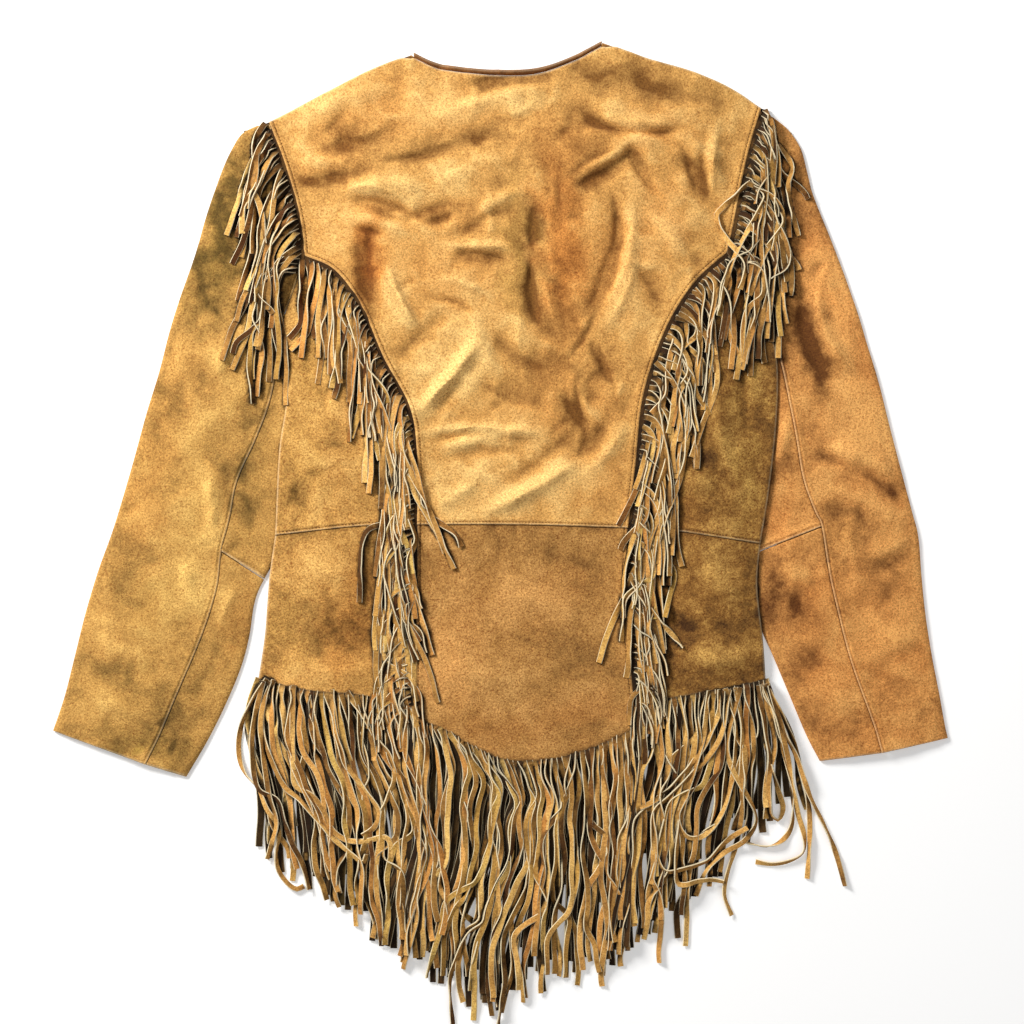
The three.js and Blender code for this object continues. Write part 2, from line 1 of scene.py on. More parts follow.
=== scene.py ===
"""A fringed buckskin jacket lying on its front: its finished panels, seams and strips of fringe.

Lengths are millimetres in the row frame until a mesh is written, which is in metres.
"""
import logging
import math
from dataclasses import dataclass, field, replace
from enum import Enum

import bpy
import numpy as np
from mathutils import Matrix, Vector
from mathutils.bvhtree import BVHTree


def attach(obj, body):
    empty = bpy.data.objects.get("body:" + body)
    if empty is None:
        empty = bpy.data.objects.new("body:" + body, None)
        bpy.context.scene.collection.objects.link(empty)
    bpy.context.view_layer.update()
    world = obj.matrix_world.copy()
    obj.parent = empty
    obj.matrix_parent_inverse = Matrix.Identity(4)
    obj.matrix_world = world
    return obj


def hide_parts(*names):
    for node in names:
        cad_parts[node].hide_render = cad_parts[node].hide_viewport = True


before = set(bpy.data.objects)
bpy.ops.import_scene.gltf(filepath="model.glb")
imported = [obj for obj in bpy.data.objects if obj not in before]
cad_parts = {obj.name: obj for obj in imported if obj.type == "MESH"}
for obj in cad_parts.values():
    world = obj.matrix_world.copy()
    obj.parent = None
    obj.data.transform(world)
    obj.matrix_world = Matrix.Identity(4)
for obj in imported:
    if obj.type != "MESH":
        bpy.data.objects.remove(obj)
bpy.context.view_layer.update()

LOG = logging.getLogger("jacket")

Array = np.ndarray
Rows = tuple[tuple[float, ...], ...]

MM = 0.001
WALL = 1.3
CAD_WALL = 1.5
LAYER_GAP = 0.6
FLAT_HEIGHT = 2 * CAD_WALL + LAYER_GAP
BODY_CROWN = 4.2
SLEEVE_CROWN = 2.6
TUCK_LIFT = 4.2
TAIL_LIFT = 2.9
FRONT_SEAM = 0.82
CENTER_FRONT_X = 10.0
FRONT_HEM_Y = -148.0
BINDING_WIDTH = 5.0
STRIP_WIDTH = 5.8
STRIP_THICKNESS = 1.4
ARMHOLE_ROWS = 6
UNDERARM_ROWS = 4
SEED = 1847


class Side(Enum):
    """The wearer's left or right half of the jacket."""

    LEFT = "left"
    RIGHT = "right"

    @property
    def out(self) -> float:
        """The sign of X away from the middle."""
        return -1.0 if self is Side.LEFT else 1.0


# ---------------------------------------------------------------- cut of the jacket


@dataclass(frozen=True)
class HalfCut:
    """Edges of one half of the jacket, each a row of x, y points from neck to hem or from side to middle."""

    shoulder: Rows
    armhole: Rows
    underarm: Rows
    side: Rows
    skirt: Rows
    princess: Rows
    lower_princess: Rows
    waist: Rows
    hem: Rows
    front_neck: Rows
    tail_corner: tuple[float, float]
    head: Rows
    sections: Rows


LEFT_CUT = HalfCut(
    shoulder=((-221, 389), (-160, 420), (-120, 440), (-83, 454)),
    armhole=((-221, 389), (-208, 355), (-196, 316), (-189, 280), (-188, 262)),
    underarm=((-188, 262), (-197, 230), (-208, 200)),
    side=((-208, 200), (-204, 130), (-211, 78), (-215, -4)),
    skirt=((-215, -4), (-220, -40), (-225, -98), (-231, -141)),
    princess=((-188, 262), (-160, 249), (-135, 217), (-112, 165), (-86, 115), (-80, 70), (-80, 6)),
    lower_princess=((-80, 6), (-81, -80), (-83, -165)),
    waist=((-215, -4), (-130, 5), (-80, 6)),
    hem=((-231, -141), (-180, -152), (-140, -155), (-83, -165)),
    front_neck=((-83, 454), (-66, 408), (-32, 380), (CENTER_FRONT_X, 372)),
    tail_corner=(-82, -181),
    head=((-231, 386.5), (-241, 384), (-258, 361), (-270, 332), (-281, 300), (-291, 265), (-306, 222)),
    # outer fold x, y, back seam x, y, inner fold x, y, from the underarm to the cuff
    sections=(
        (-306, 222, -208, 200, -178, 192), (-316, 190, -213, 165, -174, 156),
        (-326, 151, -219, 127, -174, 117), (-338, 112, -233, 88, -180, 76),
        (-350, 68, -251, 48, -190, 36), (-361, 30, -259, 8, -202, -4),
        (-371, -2, -266, -20, -226, -46), (-384, -38, -270, -54, -235, -68),
        (-396, -78, -281, -90, -240, -100), (-406, -118, -295, -125, -248, -130),
        (-415, -154, -311, -162, -263, -166), (-422, -176, -324, -193, -280, -200),
        (-427, -190, -338, -222, -300, -234),
    ),
)
RIGHT_CUT = HalfCut(
    shoulder=((247, 402), (220, 420), (180, 437), (140, 449), (95, 465)),
    armhole=((247, 402), (236, 365), (228, 330), (221, 292), (215, 265)),
    underarm=((215, 265), (236, 230), (254, 200)),
    side=((254, 200), (262, 160), (261, 100), (253, 30), (246, -12)),
    skirt=((246, -12), (243, -50), (248, -100), (251, -142)),
    princess=((215, 265), (185, 238), (160, 200), (142, 155), (133, 120), (127, 60), (120, 3)),
    lower_princess=((120, 3), (118, -60), (121, -110), (126, -165)),
    waist=((246, -12), (200, -5), (165, 0), (120, 3)),
    hem=((251, -142), (212, -150), (188, -154), (126, -165)),
    front_neck=((95, 465), (82, 412), (48, 380), (CENTER_FRONT_X, 372)),
    tail_corner=(128, -186),
    head=((257, 395), (270, 385), (284, 366), (296, 322), (311, 284), (326, 245), (340, 205)),
    sections=(
        (340, 205, 254, 200, 226, 192), (348, 178, 266, 158, 222, 150),
        (359, 142, 273, 124, 222, 112), (370, 98, 280, 88, 226, 74),
        (382, 52, 287, 48, 230, 34), (391, 18, 298, 18, 230, 2),
        (397, -6, 304, 4, 234, -24), (400, -44, 311, -40, 240, -58),
        (404, -82, 320, -80, 246, -90), (410, -120, 331, -122, 258, -118),
        (417, -156, 343, -156, 274, -156), (422, -184, 354, -186, 290, -194),
        (425, -197, 361, -211, 303, -219),
    ),
)
CUTS = {Side.LEFT: LEFT_CUT, Side.RIGHT: RIGHT_CUT}
NECK = ((-83, 454), (-60, 444), (0, 438), (40, 441), (70, 452), (95, 465))
CENTER_WAIST = ((-80, 6), (20, 6), (120, 3))
TAIL_HEM = ((-82, -181), (-60, -186), (-35, -201), (0, -217), (50, -216), (95, -202), (128, -186))

# Creases: x0, y0, x1, y1, sideways bend, half width, height
BODY_CREASES: Rows = (
    (-148, 316, -70, 293, -5, 4.5, -3.4),
    (-72, 293, -44, 302, 2, 5, -2.6),
    (-150, 326, -88, 312, -6, 6, 2.8),
    (-122, 292, -124, 232, 4, 4, -2.6),
    (-140, 288, -112, 282, 0, 5, -2.2),
    (27, 262, 35, 196, 2, 3.6, -3.0),
    (33, 312, 30, 262, 3, 4.5, -1.8),
    (103, 328, 90, 208, -14, 3.6, -2.6),
    (92, 214, 60, 160, -4, 4, -2.0),
    (74, 330, 121, 360, 4, 4, -3.0),
    (121, 362, 151, 318, 3, 4.5, -3.2),
    (80, 390, 176, 382, 8, 4.5, -2.8),
    (84, 398, 180, 390, 8, 6, 2.2),
    (171, 364, 186, 320, -3, 4, -3.0),
    (-80, 102, -12, 184, -6, 5, 1.1),
    (-74, 92, -4, 174, -6, 5, -0.8),
    (-82, 92, 38, 92, -6, 4, 2.8),
    (-76, 84, 40, 83, -6, 4.5, -2.2),
    (70, 148, 81, 94, 2, 4.5, -1.6),
    (-45, 264, 8, 256, -3, 3.4, -2.4),
    (-40, 271, 14, 264, -3, 4.5, 1.8),
    (-107, 254, -76, 190, 4, 4, 2.4),
    (92, 178, 110, 132, 2, 3, -2.4),
    (-60, 240, -10, 222, -4, 3.6, 2.2),
    (-70, 222, -20, 204, -4, 3.6, -2.0),
    (-120, 352, -40, 368, 5, 4.5, -2.2),
    (-150, 338, -192, 332, -3, 4, -2.6),
    (-44, 420, 52, 432, -4, 4.5, -2.4),
    (110, 262, 150, 250, 4, 4, 1.8),
    (-20, 142, 26, 120, 4, 4, -2.0),
    (-52, 404, 62, 434, -5, 12, -2.6),
    (-76, 386, 58, 424, -6, 13, 2.6),
    (74, 400, 134, 371, 5, 9, -3.0),
    (84, 412, 150, 388, 5, 10, 2.2),
    (70, 326, 126, 363, 5, 8, -3.4),
    (66, 342, 128, 376, 5, 9, 3.0),
    (107, 316, 82, 212, -12, 8, -2.6),
    (122, 318, 98, 214, -12, 9, 2.4),
    (-42, 277, 12, 306, -5, 7, -2.4),
    (-30, 290, 20, 322, -5, 9, 1.8),
    (-60, 330, 10, 350, -8, 14, 2.2),
    (-90, 350, 0, 372, -8, 14, -2.2),
    (-180, 396, -110, 420, -4, 14, 1.8),
    (-176, 372, -100, 380, 5, 13, -2.0),
    (10, 200, 60, 170, 5, 9, 2.2),
    (-10, 186, 44, 156, 5, 9, -2.2),
    (60, 60, 104, 110, 4, 8, -2.4),
    (80, 56, 116, 100, 4, 8, 2.2),
    (-202, 331, -138, 341, 3, 7, -2.6),
    (-196, 352, -130, 357, 4, 11, 2.2),
    (-146, 313, -92, 292, -3, 6, -2.8),
    (-92, 292, -48, 311, -3, 6, -2.2),
    (-142, 325, -62, 318, -8, 9, 2.6),
    (-140, 300, -84, 279, -2, 7, 2.2),
    (-136, 282, -119, 202, 3, 8, -2.6),
    (-116, 250, -80, 188, 3, 8, 3.0),
    (-42, 263, 2, 258, 3, 6, -2.4),
    (-60, 275, 10, 272, 5, 8, 1.8),
    (-82, 112, -20, 186, 5, 8, 3.8),
    (-100, 158, -50, 206, -4, 8, -2.0),
    (-58, 79, 40, 93, -4, 6, 3.4),
    (-62, 66, 34, 76, -4, 6, -2.2),
    (-26, 14, 84, 76, 5, 8, 3.6),
    (-4, 40, 70, 96, 4, 8, -2.2),
    (-66, 24, -20, 52, 4, 8, 2.0),
    (60, 126, 84, 94, 2, 6, -2.4),
    (74, 132, 100, 98, 2, 6, 1.8),
    (60, 334, 120, 366, -4, 6, -2.4),
    (120, 366, 142, 334, -2, 6, -2.2),
    (78, 379, 152, 367, -5, 8, 2.8),
    (170, 353, 202, 308, -4, 8, -3.4),
    (182, 372, 214, 322, -4, 7, 2.2),
    (206, 392, 199, 300, 2, 5, 2.2),
    (196, 388, 190, 318, 2, 5, -1.6),
    (85, 182, 101, 144, 1, 4, -1.6),
    (24, 242, 36, 196, 2, 7, -2.0),
    (40, 246, 54, 190, 2, 8, 1.8),
    (74, 198, 106, 272, 6, 9, -2.0),
    (96, 192, 128, 262, 6, 9, 2.2),
    (96, 440, 230, 404, 8, 13, -1.6),
    (-30, 210, 4, 140, 3, 10, 1.8),
    (-10, 150, 40, 118, 4, 9, -1.6),
    (20, 372, 60, 300, 6, 14, 1.6),
    (-20, 400, 40, 396, 6, 14, -1.0),
    (140, 300, 176, 262, -4, 8, 2.0),
    (128, 250, 150, 214, -2, 8, -1.8),
    (-70, -8, -20, -30, -3, 10, 1.4),
    (30, -14, 104, -40, 3, 12, -1.2),
    (0, -60, 70, -80, -4, 14, 1.2),
    (-60, -120, 10, -140, 6, 16, 1.4),
    (60, -130, 112, -110, 5, 14, -1.0),
    (-214, 10, -194, 56, 3, 6, -2.0),
    (-200, 96, -168, 60, 4, 10, 1.6),
    (-190, -20, -150, -44, 5, 11, 1.6),
    (-206, -70, -160, -110, 6, 12, -1.4),
    (-196, -128, -120, -132, 3, 12, 1.4),
    (150, 60, 196, 40, 5, 11, 1.6),
    (206, 130, 214, 60, 3, 10, 1.8),
    (228, 170, 236, 90, 2, 7, -1.8),
    (190, -30, 230, -60, 4, 10, 1.8),
    (150, -70, 200, -100, 4, 12, -1.4),
    (190, -120, 236, -118, 4, 11, 1.6),
)
SLEEVE_CREASES: Rows = (
    (-231, 196, -272, 148, 4, 8, 2.2),
    (-290, 250, -262, 196, 5, 12, -1.4),
    (-312, 190, -276, 96, 6, 12, 1.6),
    (-276, 62, -268, -18, 3, 9, 2.6),
    (-262, 60, -252, 6, 2, 6, -2.0),
    (-246, 82, -236, 0, 3, 7, -1.8),
    (-330, 96, -296, 30, 6, 14, -1.2),
    (-350, 20, -310, -20, 6, 12, 1.4),
    (-300, -22, -286, -74, 4, 10, 1.8),
    (-366, -48, -322, -86, 6, 12, -1.3),
    (-384, -96, -330, -126, 5, 12, 1.4),
    (-396, -150, -340, -176, 4, 12, 1.2),
    (-250, -52, -268, -96, 3, 8, 1.6),
    (-270, -120, -292, -168, 3, 8, -1.2),
    (283, 226, 313, 138, 8, 9, -3.0),
    (300, 232, 332, 150, 8, 9, 2.2),
    (340, 190, 351, 164, 2, 7, -1.8),
    (290, 70, 330, 60, -3, 7, -2.4),
    (330, 60, 386, 26, -3, 7, -2.4),
    (292, 84, 384, 44, -6, 8, 2.6),
    (310, 40, 384, 4, -5, 9, 2.0),
    (354, -36, 386, -20, 2, 7, -1.8),
    (344, -24, 388, -6, 2, 7, 1.8),
    (256, 60, 272, 110, 3, 8, 2.2),
    (330, 12, 344, -60, 4, 10, 1.6),
    (350, -80, 392, -104, 4, 10, 1.5),
    (344, -130, 396, -150, 4, 12, -1.2),
    (262, -30, 300, -44, 3, 8, 2.0),
    (252, -52, 290, -76, 3, 7, -1.8),
    (262, -96, 312, -104, 3, 9, 1.6),
    (284, -150, 330, -160, 3, 10, 1.2),
    (320, 280, 300, 210, 3, 12, 1.4),
)


# ---------------------------------------------------------------- numbers and lines


def smooth(low: float, high: float, value: Array | float) -> Array:
    """A soft step from 0 at low to 1 at high."""
    t = np.clip((np.asarray(value, float) - low) / (high - low), 0.0, 1.0)
    return t * t * (3.0 - 2.0 * t)


def line(rows: Rows, count: int) -> Array:
    """Evenly spaced points on a smooth curve through a few points.

    Args:
        rows: The x, y points that the curve passes.
        count: How many equal steps to take along it.

    Returns:
        An array of count + 1 points.
    """
    p = np.array(rows, float)
    if len(p) == 2:
        return p[0] + (p[1] - p[0]) * np.linspace(0, 1, count + 1)[:, None]
    ends = np.vstack([2 * p[0] - p[1], p, 2 * p[-1] - p[-2]])
    t = np.linspace(0, 1, 30, endpoint=False)[:, None]
    dense = []
    for a, b, c, d in zip(ends, ends[1:], ends[2:], ends[3:]):
        ab, bc, cd = (max(1e-6, np.linalg.norm(v) ** 0.5) for v in (b - a, c - b, d - c))
        m0 = ((b - a) / ab - (c - a) / (ab + bc) + (c - b) / bc) * bc
        m1 = ((c - b) / bc - (d - b) / (bc + cd) + (d - c) / cd) * bc
        dense.append(
            (2 * t**3 - 3 * t**2 + 1) * b + (t**3 - 2 * t**2 + t) * m0
            + (3 * t**2 - 2 * t**3) * c + (t**3 - t**2) * m1
        )
    return resample(np.vstack([*dense, p[-1:]]), count)


def resample(points: Array, count: int) -> Array:
    """Points at equal steps along a polyline."""
    run = np.concatenate([[0.0], np.cumsum(np.linalg.norm(np.diff(points, axis=0), axis=1))])
    at = np.linspace(0, run[-1], count + 1)
    return np.stack([np.interp(at, run, points[:, k]) for k in range(points.shape[1])], axis=1)


def joined(*runs: Array) -> Array:
    """Runs of points end to end, each sharing its first point with the last."""
    return np.vstack([runs[0], *(run[1:] for run in runs[1:])])


def length_of(points: Array) -> float:
    """The length of a polyline."""
    return float(np.linalg.norm(np.diff(points, axis=0), axis=1).sum())


def rail_at(points: Array, t: Array) -> Array:
    """Points of a rail at shares 0 to 1 of its rows."""
    at = np.asarray(t) * (len(points) - 1)
    return np.stack([np.interp(at, np.arange(len(points)), points[:, k]) for k in range(2)], axis=-1)


def normals_of(points: Array) -> Array:
    """Unit vectors square to a polyline, to its left."""
    along = np.gradient(points, axis=0)
    along /= np.maximum(1e-9, np.linalg.norm(along, axis=1))[:, None]
    return np.stack([-along[:, 1], along[:, 0]], axis=1)


def distance_to(points: Array, x: Array, y: Array) -> Array:
    """The distance in the plane from each x, y to a polyline."""
    best = np.full(x.shape, 1e9)
    for a, b in zip(points, points[1:]):
        ab = b - a
        t = np.clip(((x - a[0]) * ab[0] + (y - a[1]) * ab[1]) / max(1e-9, ab @ ab), 0, 1)
        best = np.minimum(best, np.hypot(x - a[0] - t * ab[0], y - a[1] - t * ab[1]))
    return best


def ripple(x: Array, y: Array, wave: float, seed: int) -> Array:
    """Soft random relief between about -1 and 1.

    Args:
        x: Places across.
        y: Places along.
        wave: The size of its bumps.
        seed: Which of the possible reliefs.

    Returns:
        The relief at each place.
    """
    rng = np.random.default_rng(seed)
    total = np.zeros(np.broadcast(x, y).shape)
    for _ in range(9):
        turn = rng.uniform(0, 2 * math.pi)
        size = wave * rng.uniform(0.7, 1.6)
        phase = rng.uniform(0, 2 * math.pi)
        total += np.sin(2 * math.pi * (x * math.cos(turn) + y * math.sin(turn)) / size + phase)
    return total / 4.2


def ridged(x: Array, y: Array, wave: float, seed: int) -> Array:
    """Random relief with soft crests, as cloth has between its creases."""
    bent_x = x + 0.25 * wave * ripple(x, y, 1.7 * wave, seed + 100)
    bent_y = y + 0.25 * wave * ripple(x, y, 1.7 * wave, seed + 200)
    return 0.55 - np.sqrt(ripple(bent_x, bent_y, 1.4 * wave, seed) ** 2 + 0.01)


@dataclass(frozen=True)
class CreaseField:
    """Creases laid on the cloth, each an arc that fades at its ends."""

    rows: Rows

    def height(self, x: Array, y: Array) -> Array:
        """The height that the creases add at each place."""
        total = np.zeros(x.shape)
        for x0, y0, x1, y1, bend, width, height in self.rows:
            dx, dy = x1 - x0, y1 - y0
            size = math.hypot(dx, dy)
            run = ((x - x0) * dx + (y - y0) * dy) / size
            t = np.clip(run / size, 0, 1)
            away = ((x - x0) * dy - (y - y0) * dx) / size - bend * 4 * t * (1 - t)
            fade = smooth(-1.2 * width, 0.35 * size, run) * smooth(-1.2 * width, 0.35 * size, size - run)
            soft = np.exp(-((away / width) ** 2))
            crest = np.exp(-np.sqrt((away / (0.5 * width)) ** 2 + 0.05))
            total += height * fade * (0.5 * soft + 0.72 * crest)
        return total


def crinkle(count: int, box: tuple[float, float, float, float], seed: int) -> Rows:
    """Rows of small creases scattered over a box of low x, high x, low y and high y."""
    rng = np.random.default_rng(seed)
    rows = []
    for _ in range(count):
        x, y = rng.uniform(box[0], box[1]), rng.uniform(box[2], box[3])
        turn = rng.normal(0.35, 0.85)
        size = rng.uniform(12, 52)
        height = rng.choice([-1, 1], p=[0.5, 0.5]) * rng.uniform(0.3, 1.15)
        rows.append((
            x, y, x + size * math.cos(turn), y + size * math.sin(turn), rng.normal(0, 4), rng.uniform(3.0, 6.5), height,
        ))
    return tuple(rows)


def body_rail(cut: HalfCut) -> Array:
    """The outer edge of the body from shoulder to hem, with falling Y."""
    return joined(line(cut.armhole, 40), line(cut.underarm, 20), line(cut.side, 60), line(cut.skirt, 40))


BODY_RAILS = {side: body_rail(cut) for side, cut in CUTS.items()}
BODY_FIELD = CreaseField(BODY_CREASES + crinkle(150, (-200, 200, 20, 440), 61))
SLEEVE_FIELD = CreaseField(
    SLEEVE_CREASES + crinkle(46, (-420, -230, -220, 300), 62) + crinkle(52, (240, 420, -220, 300), 63)
)


def rail_x(rail: Array, y: Array) -> Array:
    """X of a falling rail at each Y."""
    return np.interp(-np.asarray(y, float), -rail[:, 1], rail[:, 0])


def tuck_lift(x: Array, y: Array) -> Array:
    """How far the sleeves tucked under the body lift it."""
    left = (1 - smooth(-164, -112, x)) * (1 - smooth(206, 262, y)) * smooth(-112, -52, y)
    right = smooth(150, 206, x) * (1 - smooth(206, 262, y)) * smooth(-146, -112, y)
    return TUCK_LIFT * np.maximum(left, right)


def body_edge(x: Array, y: Array) -> Array:
    """How far each place is in from the nearer side of the body."""
    return np.minimum(x - rail_x(BODY_RAILS[Side.LEFT], y), rail_x(BODY_RAILS[Side.RIGHT], y) - x)


def back_relief(x: Array, y: Array) -> Array:
    """Creases and small ripples of the back, which fade at the sides."""
    inside = smooth(0, 26, body_edge(x, y))
    upper = smooth(-30, 20, y)
    small = 0.35 * ripple(x, y, 46, 3) + 0.16 * ripple(x, y, 17, 4)
    worn = (0.4 + 0.6 * upper) * (1.3 * ridged(x, y, 70, 7) + 0.9 * ridged(x, y, 30, 8))
    return inside * (1.45 * BODY_FIELD.height(x, y) + small + worn)


def back_top(x: Array, y: Array) -> Array:
    """Height of the back's outer face."""
    x, y = np.asarray(x, float), np.asarray(y, float)
    edge = body_edge(x, y)
    crown = BODY_CROWN * smooth(0, 70, edge)
    tail = TAIL_LIFT * (1 - smooth(-146, -90, y))
    raised = crown + back_relief(x, y)
    raised = 0.5 * (raised + np.sqrt(raised * raised + 1.2)) - 0.5
    return FLAT_HEIGHT + 0.3 + tuck_lift(x, y) + tail + raised


# ---------------------------------------------------------------- colour of the hide


@dataclass(frozen=True)
class Tint:
    """Patches of the hide, each x, y, half width, half length, turn, lighter or darker, and warmer or greener."""

    rows: Rows

    def at(self, x: Array, y: Array) -> tuple[Array, Array]:
        """Lightness and warmth, each about -1 to 1, at each place."""
        light = np.zeros(x.shape)
        warm = np.zeros(x.shape)
        wobble_x = x + 9 * ripple(x, y, 38, 11) + 4 * ripple(x, y, 15, 12)
        wobble_y = y + 9 * ripple(x, y, 41, 13) + 4 * ripple(x, y, 14, 14)
        for px, py, half_x, half_y, turn, tone, warmth in self.rows:
            c, s = math.cos(math.radians(turn)), math.sin(math.radians(turn))
            u = ((wobble_x - px) * c + (wobble_y - py) * s) / half_x
            v = (-(wobble_x - px) * s + (wobble_y - py) * c) / half_y
            mask = np.exp(-((u * u + v * v) ** 1.3))
            light += tone * mask
            warm += warmth * mask
        return light, warm


BACK_TINT = Tint((
    (-150, 395, 60, 30, 25, 0.25, 0.15),
    (-165, 345, 42, 14, 8, -0.55, 0.2),
    (-60, 400, 60, 26, 0, 0.1, 0.25),
    (10, 405, 70, 16, 0, 0.35, 0.0),
    (140, 428, 70, 12, -12, -0.45, -0.1),
    (60, 360, 40, 40, 0, -0.3, 0.25),
    (150, 385, 50, 20, -10, 0.35, 0.1),
    (190, 330, 16, 30, 30, -0.35, 0.1),
    (-105, 312, 50, 12, -10, 0.45, 0.1),
    (-125, 240, 14, 46, -12, -0.55, 0.35),
    (-150, 285, 40, 22, 0, 0.3, 0.2),
    (-60, 250, 50, 40, 0, 0.1, 0.25),
    (30, 290, 40, 90, 5, -0.35, 0.05),
    (50, 215, 26, 60, -10, -0.45, 0.1),
    (100, 250, 40, 60, 10, 0.12, 0.3),
    (150, 300, 30, 40, 0, 0.2, 0.4),
    (-20, 190, 40, 50, -20, 0.3, 0.05),
    (-60, 150, 30, 60, -35, 0.45, 0.0),
    (70, 130, 50, 40, 0, -0.2, 0.35),
    (20, 100, 60, 24, 8, 0.3, 0.1),
    (-40, 60, 40, 30, 20, 0.4, 0.0),
    (50, 45, 60, 22, 25, 0.4, 0.1),
    (100, 40, 26, 40, 0, -0.2, 0.2),
    (20, -20, 80, 16, 0, -0.15, 0.0),
    (40, -60, 60, 30, 10, 0.1, 0.2),
    (-30, -70, 40, 60, 0, 0.08, 0.1),
    (50, -110, 50, 20, 5, -0.25, 0.0),
    (-50, -150, 40, 26, -30, 0.35, 0.15),
    (80, -170, 50, 20, 10, 0.1, 0.3),
    (0, -190, 40, 14, 0, -0.1, 0.2),
    (-52, -110, 30, 56, -8, 0.5, 0.1),
    (-130, 400, 40, 36, 0, -0.4, 0.1),
    (150, 400, 34, 30, 0, -0.3, 0.1),
    (40, 330, 40, 50, 0, -0.15, 0.1),
    (58, 265, 20, 80, 2, -0.05, 0.7),
    (16, 270, 16, 70, 2, -0.3, -0.5),
    (-126, 262, 14, 34, 4, -0.4, 0.6),
    (-40, 300, 26, 14, 10, -0.45, 0.2),
    (72, 128, 16, 30, -10, -0.4, -0.3),
    (130, 372, 60, 14, -4, -0.35, 0.2),
    (20, -90, 90, 60, 0, 0.22, 0.05),
    (20, -190, 90, 40, 0, 0.28, 0.1),
    (-55, -115, 34, 60, -8, 0.3, 0.1),
    (20, 70, 90, 50, 0, 0.2, 0.0),
    (150, 290, 30, 30, 0, 0.2, 0.0),
))
SIDE_TINT = Tint((
    (-180, 170, 26, 60, 0, 0.15, -0.2),
    (-190, 60, 24, 50, 0, -0.15, -0.15),
    (-150, 40, 20, 40, 0, 0.2, 0.1),
    (-180, -40, 40, 26, 0, 0.1, 0.1),
    (-200, -90, 26, 40, 0, 0.2, -0.2),
    (-150, -100, 30, 40, 0, -0.3, 0.45),
    (-130, -60, 20, 40, 0, -0.35, 0.3),
    (-200, -135, 30, 12, -10, -0.2, 0.2),
    (230, 130, 20, 60, 0, 0.3, -0.2),
    (200, 60, 24, 50, 0, -0.1, -0.1),
    (236, 40, 12, 50, 0, 0.15, -0.25),
    (180, 20, 24, 40, 0, 0.1, 0.2),
    (190, -60, 40, 30, 0, -0.25, 0.1),
    (210, -110, 40, 24, 0, 0.15, 0.0),
    (160, -100, 20, 50, 0, -0.4, 0.1),
    (236, -60, 12, 50, 0, -0.3, -0.2),
))
SLEEVE_TINT = Tint((
    (-262, 300, 22, 60, -10, -0.45, -0.35),
    (-290, 240, 24, 50, -12, -0.35, -0.2),
    (-250, 160, 26, 50, -12, 0.3, -0.1),
    (-300, 150, 34, 44, -12, -0.1, 0.15),
    (-285, 95, 30, 24, 0, 0.35, -0.05),
    (-330, 70, 20, 60, -14, 0.1, 0.2),
    (-290, 20, 26, 60, -8, 0.35, -0.1),
    (-345, 0, 26, 40, -14, -0.15, 0.2),
    (-240, 40, 14, 60, -8, -0.35, -0.1),
    (-330, -60, 40, 40, -14, 0.2, -0.15),
    (-290, -60, 16, 40, -14, 0.25, 0.0),
    (-380, -90, 20, 50, -14, 0.1, 0.1),
    (-250, -90, 16, 40, -14, -0.2, 0.25),
    (-350, -150, 60, 26, -14, -0.2, -0.1),
    (-330, -205, 60, 16, -14, -0.4, -0.3),
    (-400, -190, 24, 14, 0, -0.25, 0.1),
    (262, 330, 20, 60, 12, -0.35, -0.2),
    (300, 260, 20, 50, 14, 0.1, 0.35),
    (318, 210, 18, 30, 20, 0.4, 0.3),
    (296, 190, 14, 46, 14, -0.75, -0.1),
    (306, 140, 14, 30, 14, -0.5, -0.1),
    (345, 160, 14, 40, 14, 0.1, 0.35),
    (262, 150, 10, 40, 0, -0.3, 0.3),
    # painted shade of the fold opening between sleeve and side panel
    (258, 70, 14, 24, 0, -0.7, 0.1),
    (270, 104, 14, 12, 0, 0.35, 0.2),
    (330, 100, 40, 24, -20, 0.3, 0.1),
    (300, 60, 30, 24, 0, 0.35, 0.0),
    (350, 55, 40, 12, -20, -0.35, 0.1),
    (360, 25, 40, 14, -25, 0.3, 0.2),
    (320, 10, 20, 30, 0, -0.4, -0.1),
    (262, 10, 18, 24, 0, 0.2, 0.4),
    (262, -50, 16, 40, 0, -0.6, 0.1),
    (350, -60, 40, 30, 0, -0.3, 0.2),
    (300, -60, 16, 30, 0, 0.2, 0.3),
    (370, -120, 40, 40, 10, 0.2, 0.35),
    (310, -140, 30, 30, 10, 0.1, 0.3),
    (350, -190, 60, 18, 8, 0.05, 0.25),
    (390, -60, 12, 60, 0, 0.3, 0.1),
    (-264, 280, 30, 66, -10, -0.6, -0.3),
    (-300, 120, 50, 50, -12, -0.25, 0.0),
    (-330, 0, 40, 60, -12, -0.12, 0.0),
    (322, 225, 26, 46, 14, 0.95, 0.1),
    (350, 110, 36, 50, 14, 1.0, 0.1),
    (370, -120, 60, 60, 8, 0.2, 0.0),
    (286, -95, 20, 44, 6, -0.75, 0.15),
    (-327, -182, 8, 5, 0, -0.9, 0.3),
    (-309, -206, 8, 6, 0, -0.8, 0.3),
    (-343, -216, 9, 7, 0, 0.5, -0.8),
))


# ---------------------------------------------------------------- finishes


